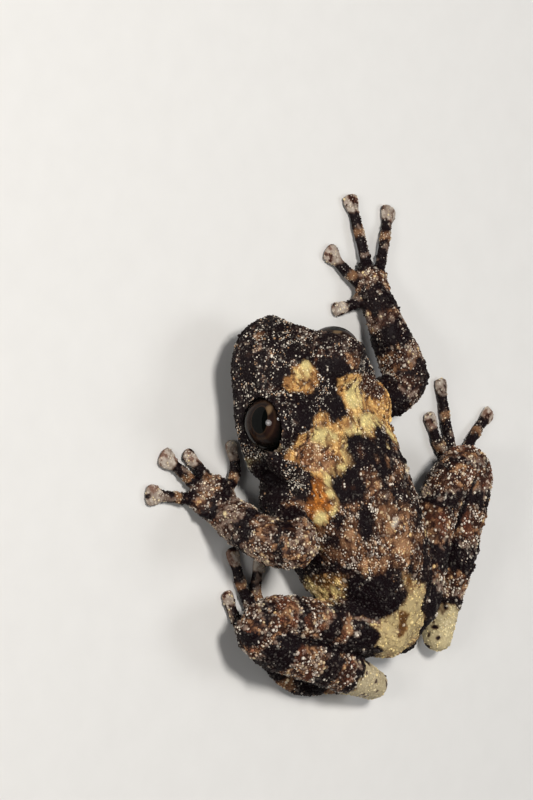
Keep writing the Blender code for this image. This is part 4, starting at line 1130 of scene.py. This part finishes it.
def granule_shape():
    """One low dome with a base ring, a shoulder ring and a tip, and how near the tip each point is."""
    around = range(GRANULE_SIDES)
    points, tips, faces = [], [], []
    for radius, height, tip in GRANULE_RINGS:
        for k in around:
            a = 2 * math.pi * k / GRANULE_SIDES
            points.append((radius * math.cos(a), radius * math.sin(a), height))
            tips.append(tip)
    points.append((0, 0, GRANULE_TOP))
    tips.append(1.0)
    last = (len(GRANULE_RINGS) - 1) * GRANULE_SIDES
    for start in range(0, last, GRANULE_SIDES):
        for k in around:
            a, b = start + k, start + (k + 1) % GRANULE_SIDES
            faces.append((a, b, b + GRANULE_SIDES, a + GRANULE_SIDES))
    for k in around:
        faces.append((last + k, last + (k + 1) % GRANULE_SIDES, len(points) - 1))
    faces.append(tuple(reversed(around)))
    mesh = bpy.data.meshes.new("granule")
    mesh.from_pydata(points, [], faces)
    put_attribute(mesh, "tip", "FLOAT", np.array(tips))
    return new_object("granule", mesh)


def skin_value(nodes, name):
    """A value that the skin's mesh carries at each point."""
    named = nodes.add("GeometryNodeInputNamedAttribute", {"Name": name}, data_type="FLOAT")
    return named.outputs["Attribute"]


def scatter_points(nodes, given):
    """Points on the part of the skin that belongs to the region, no nearer than the spacing."""
    away = nodes.number("ABSOLUTE", nodes.number("SUBTRACT", skin_value(nodes, "region"), given["Region"]))
    chosen = nodes.add("FunctionNodeCompare", {0: away, 1: 0.5}, data_type="FLOAT", operation="LESS_THAN")
    square = nodes.number("MULTIPLY", given["Spacing"], given["Spacing"])
    values = {"Mesh": given["Geometry"], "Selection": chosen.outputs[0], "Distance Min": given["Spacing"],
              "Density Max": nodes.number("DIVIDE", SCATTER_CROWDING, square),
              "Density Factor": skin_value(nodes, "thick"), "Seed": given["Seed"]}
    return nodes.add("GeometryNodeDistributePointsOnFaces", values, distribute_method="POISSON").outputs


def granule_scale(nodes, given):
    """A size for each granule, mostly small ones, stretched unevenly."""
    chance = nodes.add("FunctionNodeRandomValue", {"Seed": given["Seed"]}, data_type="FLOAT").outputs[1]
    room = nodes.number("SUBTRACT", given["Greatest radius"], given["Least radius"])
    more = nodes.number("MULTIPLY", nodes.number("MULTIPLY", chance, chance), room)
    radius = nodes.number("ADD", given["Least radius"], more)
    uneven = nodes.add("FunctionNodeRandomValue", {0: STRETCH_LOW, 1: STRETCH_HIGH, "Seed": STRETCH_SEED},
                       data_type="FLOAT_VECTOR")
    values = {0: uneven.outputs[0], "Scale": nodes.number("MULTIPLY", radius, skin_value(nodes, "size"))}
    return nodes.add("ShaderNodeVectorMath", values, operation="SCALE").outputs[0]


def keep_value(nodes, granules, name, value):
    """Stores a value on each granule for its material."""
    values = {0: granules, "Name": name, "Value": value}
    kept = nodes.add("GeometryNodeStoreNamedAttribute", values, data_type="FLOAT", domain="INSTANCE")
    return kept.outputs[0]


def granule_tree(shape, material):
    """Geometry nodes that set granules on the skin, as thick and as large as the skin's own values say."""
    tree = bpy.data.node_groups.new("granules", "GeometryNodeTree")
    for name, kind in GRANULE_INPUTS.items():
        tree.interface.new_socket(name, in_out="INPUT", socket_type="NodeSocket" + kind)
    tree.interface.new_socket("Geometry", in_out="OUTPUT", socket_type="NodeSocketGeometry")
    nodes = Nodes(tree)
    given = nodes.add("NodeGroupInput").outputs
    scatter = scatter_points(nodes, given)
    grain = nodes.add("GeometryNodeObjectInfo", {"Object": shape}).outputs["Geometry"]
    granules = nodes.add("GeometryNodeInstanceOnPoints", {
        "Points": scatter["Points"], "Instance": grain, "Rotation": scatter["Rotation"],
        "Scale": granule_scale(nodes, given)}).outputs[0]
    pale, shade = (nodes.add("FunctionNodeRandomValue", {"Seed": seed}, data_type="FLOAT").outputs[1]
                   for seed in (PALE_SEED, SHADE_SEED))
    likely = nodes.number("MULTIPLY", skin_value(nodes, "frost"), given["Whiteness"])
    granules = keep_value(nodes, granules, "pale", nodes.number("SUBTRACT", likely, pale))
    granules = keep_value(nodes, granules, "shade", shade)
    real = nodes.add("GeometryNodeRealizeInstances", {0: granules}).outputs[0]
    dressed = nodes.add("GeometryNodeSetMaterial", {"Geometry": real, "Material": material}).outputs[0]
    nodes.add("NodeGroupOutput", {0: dressed})
    return tree


def socket_name(tree, name):
    return next(i.identifier for i in tree.interface.items_tree if i.name == name and i.in_out == "INPUT")


def lay_patches(mesh, per_granule):
    """Gives each granule a small patch of the skin's map, round the place of its root."""
    count = len(mesh.vertices)
    roots = np.empty(count * 2, np.float32)
    layer = mesh.attributes["OFBake"]
    layer.data.foreach_get("vector", roots)
    mesh.attributes.remove(layer)
    turn = np.arange(count) % per_granule
    ring, step = turn // GRANULE_SIDES, turn % GRANULE_SIDES
    reach = np.array(PATCH_RINGS)[ring] * COAT_PATCH
    angle = 2 * math.pi * step / GRANULE_SIDES
    places = roots.reshape(-1, 2) + np.stack([reach * np.cos(angle), reach * np.sin(angle)], axis=1)
    corners = np.empty(len(mesh.loops), np.int32)
    mesh.loops.foreach_get("vertex_index", corners)
    mesh.uv_layers.new(name="OFBake").data.foreach_set("uv", places[corners].astype(np.float32).ravel())


def grow_granules(name, skin, tree, sizes, seed, region, per_granule):
    """Granules over one region of the skin, as a plain mesh."""
    carrier = new_object(name, skin.data.copy())
    grow = carrier.modifiers.new("granules", "NODES")
    grow.node_group = tree
    for key, value in zip(list(GRANULE_INPUTS)[1:], (*sizes, seed, float(region))):
        grow[socket_name(tree, key)] = value
    settle(carrier)
    lay_patches(carrier.data, per_granule)
    return carrier


# Materials

def new_material(name):
    material = bpy.data.materials.new(name)
    material.use_nodes = True
    return material, Nodes(material.node_tree), material.node_tree.nodes["Principled BSDF"]


def fine_grain(nodes):
    return nodes.texture("ShaderNodeTexNoise", GRAIN_SCALE, Detail=4.0, Roughness=0.6)["Fac"]


def crease_shade_tone(nodes, tone):
    """The darker tone for painted shade in the creases and at the feet of granules, also used for darker
    random mottling: nearly black in dark skin and a warm brown in pale skin.
    """
    light = nodes.lightness(tone)
    deep = nodes.blend(nodes.spread(light, 0.03, 0.3), linear("black"), linear("umber"))
    return nodes.blend(nodes.spread(light, 0.03, 0.5, 0.94, 0.45), tone, deep)


def skin_material():
    """Marked skin: small cells of the painted tone, some of them pale, parted by creases darkened with
    painted shade.
    """
    material, nodes, shader = new_material("frog_skin")
    tone, grain = nodes.attribute("tone", "Color"), fine_grain(nodes)
    cells = nodes.texture("ShaderNodeTexVoronoi", CELL_SCALE)
    away = cells["Distance"]
    of_cell = nodes.add("ShaderNodeSeparateColor", {0: cells["Color"]}).outputs
    crease_shade_and_mottle = crease_shade_tone(nodes, tone)
    share = nodes.spread(of_cell[0], 0.0, 1.0, 0.1, 0.9)
    uneven = nodes.number("MULTIPLY", nodes.spread(away, 0.5, 0.18), share)
    # Painted shade: each cell darkens towards its edge, into the creases between cells.
    raised = nodes.blend(uneven, crease_shade_and_mottle, tone)
    shaded = nodes.blend(nodes.spread(grain, 0.6, 0.4, 0.0, 0.85), raised, crease_shade_and_mottle)
    chance = nodes.number("SUBTRACT", nodes.attribute("frost"), of_cell[1])
    speck = nodes.number("MULTIPLY", nodes.spread(chance, -0.05, 0.15), nodes.spread(away, 0.34, 0.14))
    pale = nodes.blend(0.3, linear("white"), tone)
    bump = nodes.add("ShaderNodeBump", {"Strength": 0.8, "Distance": BUMP_HEIGHT,
                                        "Height": nodes.spread(away, 0.0, 0.7, 1.0, 0.0)})
    nodes.fill(shader, {"Base Color": nodes.blend(nodes.number("MULTIPLY", speck, 0.6), shaded, pale),
                        "Roughness": nodes.spread(grain, 0.3, 0.7, 0.45, 0.7),
                        "Normal": bump.outputs["Normal"], "Specular IOR Level": 0.08})
    return material


def granule_material():
    """Granules: darkened at the foot with painted shade, the skin's tone above in many shades, and some with
    white tips.
    """
    material, nodes, shader = new_material("frog_granules")
    tone = nodes.attribute("tone", "Color")
    tip, pale, shade = (nodes.attribute(name) for name in ("tip", "pale", "shade"))
    # foot: the crease tone, painted shade at the foot of each granule and darker random mottle elsewhere.
    foot, light = crease_shade_tone(nodes, tone), nodes.lightness(tone)
    dim = nodes.blend(nodes.spread(shade, 0.42, 0.12, 0.0, 0.85), tone, foot)
    gleam = nodes.number("MULTIPLY", nodes.spread(shade, 0.55, 0.9, 0.0, 0.6),
                         nodes.spread(light, 0.01, 0.06, 0.1, 1.0))
    lit = nodes.blend(nodes.spread(light, 0.12, 0.35), linear("white"), linear("cream"))
    bright = nodes.blend(gleam, dim, lit)
    mottled = nodes.blend(nodes.spread(fine_grain(nodes), 0.58, 0.38, 0.0, 0.8), bright, foot)
    # Painted shade: each granule darkens at its foot, where it meets the skin.
    body = nodes.blend(nodes.spread(tip, 0.0, 0.55), foot, mottled)
    white = nodes.number("MULTIPLY", nodes.spread(tip, 0.25, 0.75), nodes.spread(pale, -0.04, 0.12))
    warmer = nodes.blend(nodes.spread(shade, 0.1, 0.45), linear("tan"), linear("white"))
    creamy = nodes.blend(nodes.spread(light, 0.25, 0.5, 0.0, 0.6), warmer, linear("cream"))
    frosted = nodes.blend(nodes.spread(shade, 0.0, 1.0, 0.3, 0.0), creamy, tone)
    nodes.fill(shader, {"Base Color": nodes.blend(nodes.number("MULTIPLY", white, 0.9), body, frosted),
                        "Roughness": nodes.spread(pale, -0.5, 0.5, 0.55, 0.4), "Specular IOR Level": 0.12})
    return material


def eye_material():
    """Iris: a dark rim, coppery flecked rings, a pale wedge and a dark level pupil, under a wet surface."""
    material, nodes, shader = new_material("frog_eye")
    look = nodes.add("ShaderNodeSeparateXYZ", {0: nodes.attribute("look", "Vector")}).outputs

    def oval(half_long, half_high, at_long=0.0, at_high=0.0):
        """Distance from a place on the eye, 1 on an oval round it."""
        u, v = (nodes.number("DIVIDE", nodes.number("SUBTRACT", way, at), half)
                for way, at, half in ((look[0], at_long, half_long), (look[1], at_high, half_high)))
        squares = [nodes.number("MULTIPLY", part, part) for part in (u, v)]
        return nodes.number("SQRT", nodes.number("ADD", *squares))

    grain = nodes.texture("ShaderNodeTexNoise", IRIS_GRAIN_SCALE, Detail=5.0, Roughness=0.7)["Fac"]
    rays = nodes.texture("ShaderNodeTexVoronoi", IRIS_FLECK_SCALE)["Distance"]
    ragged = nodes.number("MULTIPLY", nodes.number("SUBTRACT", grain, 0.5), 0.35)
    around = nodes.number("ADD", oval(1.0, 0.85), ragged)
    iris = nodes.blend(nodes.spread(grain, 0.35, 0.65), IRIS_COPPER, IRIS_DARK)
    iris = nodes.blend(nodes.spread(rays, 0.25, 0.05, 0.0, 0.6), iris, IRIS_FLECK)
    iris = nodes.blend(nodes.spread(oval(*WARM_OVAL), 1.2, 0.5, 0.0, 0.55), iris, IRIS_WARM)
    iris = nodes.blend(nodes.spread(around, 1.45, 2.0), iris, PUPIL)
    line = nodes.number("MULTIPLY", nodes.spread(around, 1.28, 1.4), nodes.spread(around, 1.58, 1.46))
    iris = nodes.blend(nodes.number("MULTIPLY", line, 0.35), iris, IRIS_FLECK)
    iris = nodes.blend(nodes.spread(oval(*WEDGE_OVAL), 1.2, 0.6, 0.0, 0.8), iris, IRIS_WEDGE)
    iris = nodes.blend(nodes.spread(oval(*RING_OVAL), 1.05, 0.98, 0.0, 0.4), iris, IRIS_FLECK)
    whole = nodes.blend(nodes.spread(oval(*PUPIL_OVAL), 1.03, 0.96), iris, PUPIL)
    nodes.fill(shader, {"Base Color": whole, "Roughness": 0.4, "Specular IOR Level": 0.0,
                        "Coat Weight": 0.65, "Coat IOR": 1.24, "Coat Roughness": 0.03})
    return material


def floor_material():
    material, nodes, shader = new_material("studio_floor")
    grain = nodes.texture("ShaderNodeTexNoise", FLOOR_SCALE, Detail=2.0)["Fac"]
    nodes.fill(shader, {"Base Color": nodes.blend(grain, FLOOR_LIGHT, FLOOR_DARK), "Roughness": 0.9})
    return material


# Pieces in the frame's metres

def to_frame():
    """The turn, scale and shift from the frog's millimetres to the frame's metres, by the left eye."""
    low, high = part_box("eye_left")
    here = head_matrix() @ Vector(eye_point(-1))
    turn = Matrix.Rotation(math.pi, 4, "Z") @ Matrix.Scale(MM, 4)
    return Matrix.Translation((Vector(low) + Vector(high)) / 2 - turn @ here) @ turn


def finish_piece(thing, place, node_names):
    thing.data.transform(place)
    for face in thing.data.polygons:
        face.use_smooth = True
    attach(thing, "root")
    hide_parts(*node_names)


def make_skin():
    skin = one_body()
    unwrap(skin)
    mesh = skin.data
    points, normals = get_points(mesh), get_normals(mesh)
    colour, frost, thick, size, own = markings(points, normals)
    put_points(mesh, raise_warts(points, normals, thick, size, ~(own["head"] | own["torso"])))
    region = np.select([own["head"], own["torso"], own["arms"]], [0.0, 1.0, 2.0], 3.0)
    put_attribute(mesh, "frost", "FLOAT", frost)
    put_attribute(mesh, "tone", "FLOAT_COLOR", colour)
    for name, values in (("thick", thick), ("size", size), ("region", region)):
        put_attribute(mesh, name, "FLOAT", values)
    mesh.materials.clear()
    mesh.materials.append(skin_material())
    return skin


def make_granules(skin):
    """The fine granules and then the larger warts, one piece of each for every region of the skin."""
    shape = granule_shape()
    tree = granule_tree(shape, granule_material())
    per_granule = len(shape.data.vertices)
    made = []
    coats = (("granules_", FINE_GRANULES, FINE_SEED), ("warts_", COARSE_GRANULES, COARSE_SEED))
    for kind, sizes, seed in coats:
        for k, (region, facts) in enumerate(sizes.items()):
            made.append(grow_granules(kind + region, skin, tree, facts, seed + k, k, per_granule))
    bpy.data.objects.remove(shape, do_unlink=True)
    return made


def make_eye(side, word, material):
    """One eyeball, each point with its place across the pupil's long and short ways."""
    eye = ball("eyeball_" + word, (0, 0, 0), (EYE_RADIUS,) * 3, 96, 48)
    gaze = Vector((side * GAZE[0], GAZE[1], GAZE[2])).normalized()
    long_way = Vector((0, 0, 1)).cross(gaze).normalized() * side
    high_way = (Vector((0, 0, 1)) - gaze * gaze.z).normalized()
    look = get_points(eye.data) @ np.array((long_way, high_way, gaze)).T
    look[:, :2] += np.where(look[:, 2:] < 0, OFF_IRIS, 0.0)
    put_attribute(eye.data, "look", "FLOAT_VECTOR", look)
    eye.data.materials.append(material)
    eye.data.transform(head_matrix() @ Matrix.Translation(eye_point(side)))
    return eye


# The studio

def make_camera(place):
    """The camera at the photograph's angle and roll, aimed so that no shift is needed."""
    turn, height, roll = (math.radians(v) for v in (CAMERA_TURN, CAMERA_HEIGHT, CAMERA_ROLL))
    back = Vector((-math.cos(height) * math.cos(turn), math.cos(height) * math.sin(turn), math.sin(height)))
    ahead = (Vector((0, 1, 0)) - back * back.y).normalized()
    right = ahead.cross(back)
    across = right * math.cos(roll) + ahead * math.sin(roll)
    up = ahead * math.cos(roll) - right * math.sin(roll)
    reach = PIXELS_PER_MM * CAMERA_FAR
    seat = Vector(AIM) + back * CAMERA_FAR
    aside = across * (IMAGE[0] / 2 - AIM_PIXEL[0]) + up * (AIM_PIXEL[1] - IMAGE[1] / 2)
    look = (-back * reach + aside).normalized()
    side = up.cross(-look).normalized()
    axes = Matrix((side, (-look).cross(side), -look)).transposed()
    turned = (place.to_3x3() @ axes).to_4x4()
    for k in range(3):
        turned.col[k].normalize()
    lens = bpy.data.cameras.new("camera")
    lens.sensor_fit = "VERTICAL"
    lens.sensor_height = lens.sensor_width = SENSOR
    lens.lens = reach * SENSOR / IMAGE[1]
    lens.clip_start, lens.clip_end = CAMERA_CLIP
    camera = new_object("camera", lens)
    camera.matrix_world = Matrix.Translation(place @ seat) @ turned.to_quaternion().to_matrix().to_4x4()
    bpy.context.scene.camera = camera


def make_lamp(name, spot_at, size, power, tint):
    lamp = bpy.data.lights.new(name, "AREA")
    lamp.shape = "DISK"
    lamp.size = size
    lamp.energy = power
    lamp.color = tint
    thing = new_object(name, lamp)
    thing.location = spot_at
    thing.rotation_mode = "QUATERNION"
    thing.rotation_quaternion = Vector(spot_at).to_track_quat("Z", "Y")
    thing.visible_diffuse = name != GLINT_LAMP


def make_studio():
    """A pale floor and plain soft light."""
    bm = bmesh.new()
    bmesh.ops.create_grid(bm, x_segments=2, y_segments=2, size=FLOOR_HALF)
    mesh = bpy.data.meshes.new("studio_floor")
    bm.to_mesh(mesh)
    bm.free()
    mesh.materials.append(floor_material())
    new_object("studio_floor", mesh)
    for name, facts in LAMPS.items():
        make_lamp(name, *facts)
    world = bpy.data.worlds.new("studio")
    bpy.context.scene.world = world
    world.use_nodes = True
    sky = world.node_tree.nodes["Background"].inputs
    sky["Color"].default_value = SKY_COLOUR
    sky["Strength"].default_value = SKY_STRENGTH
    bpy.context.scene.view_settings.view_transform = "Standard"


def main():
    place = to_frame()
    flesh = [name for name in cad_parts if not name.startswith("eye")]
    skin = make_skin()
    granules = make_granules(skin)
    for piece in [skin] + granules:
        finish_piece(piece, place, flesh)
    wet = eye_material()
    for side, word in ((-1, "left"), (1, "right")):
        finish_piece(make_eye(side, word, wet), place, ["eye_" + word])
    make_studio()
    make_camera(place)


main()
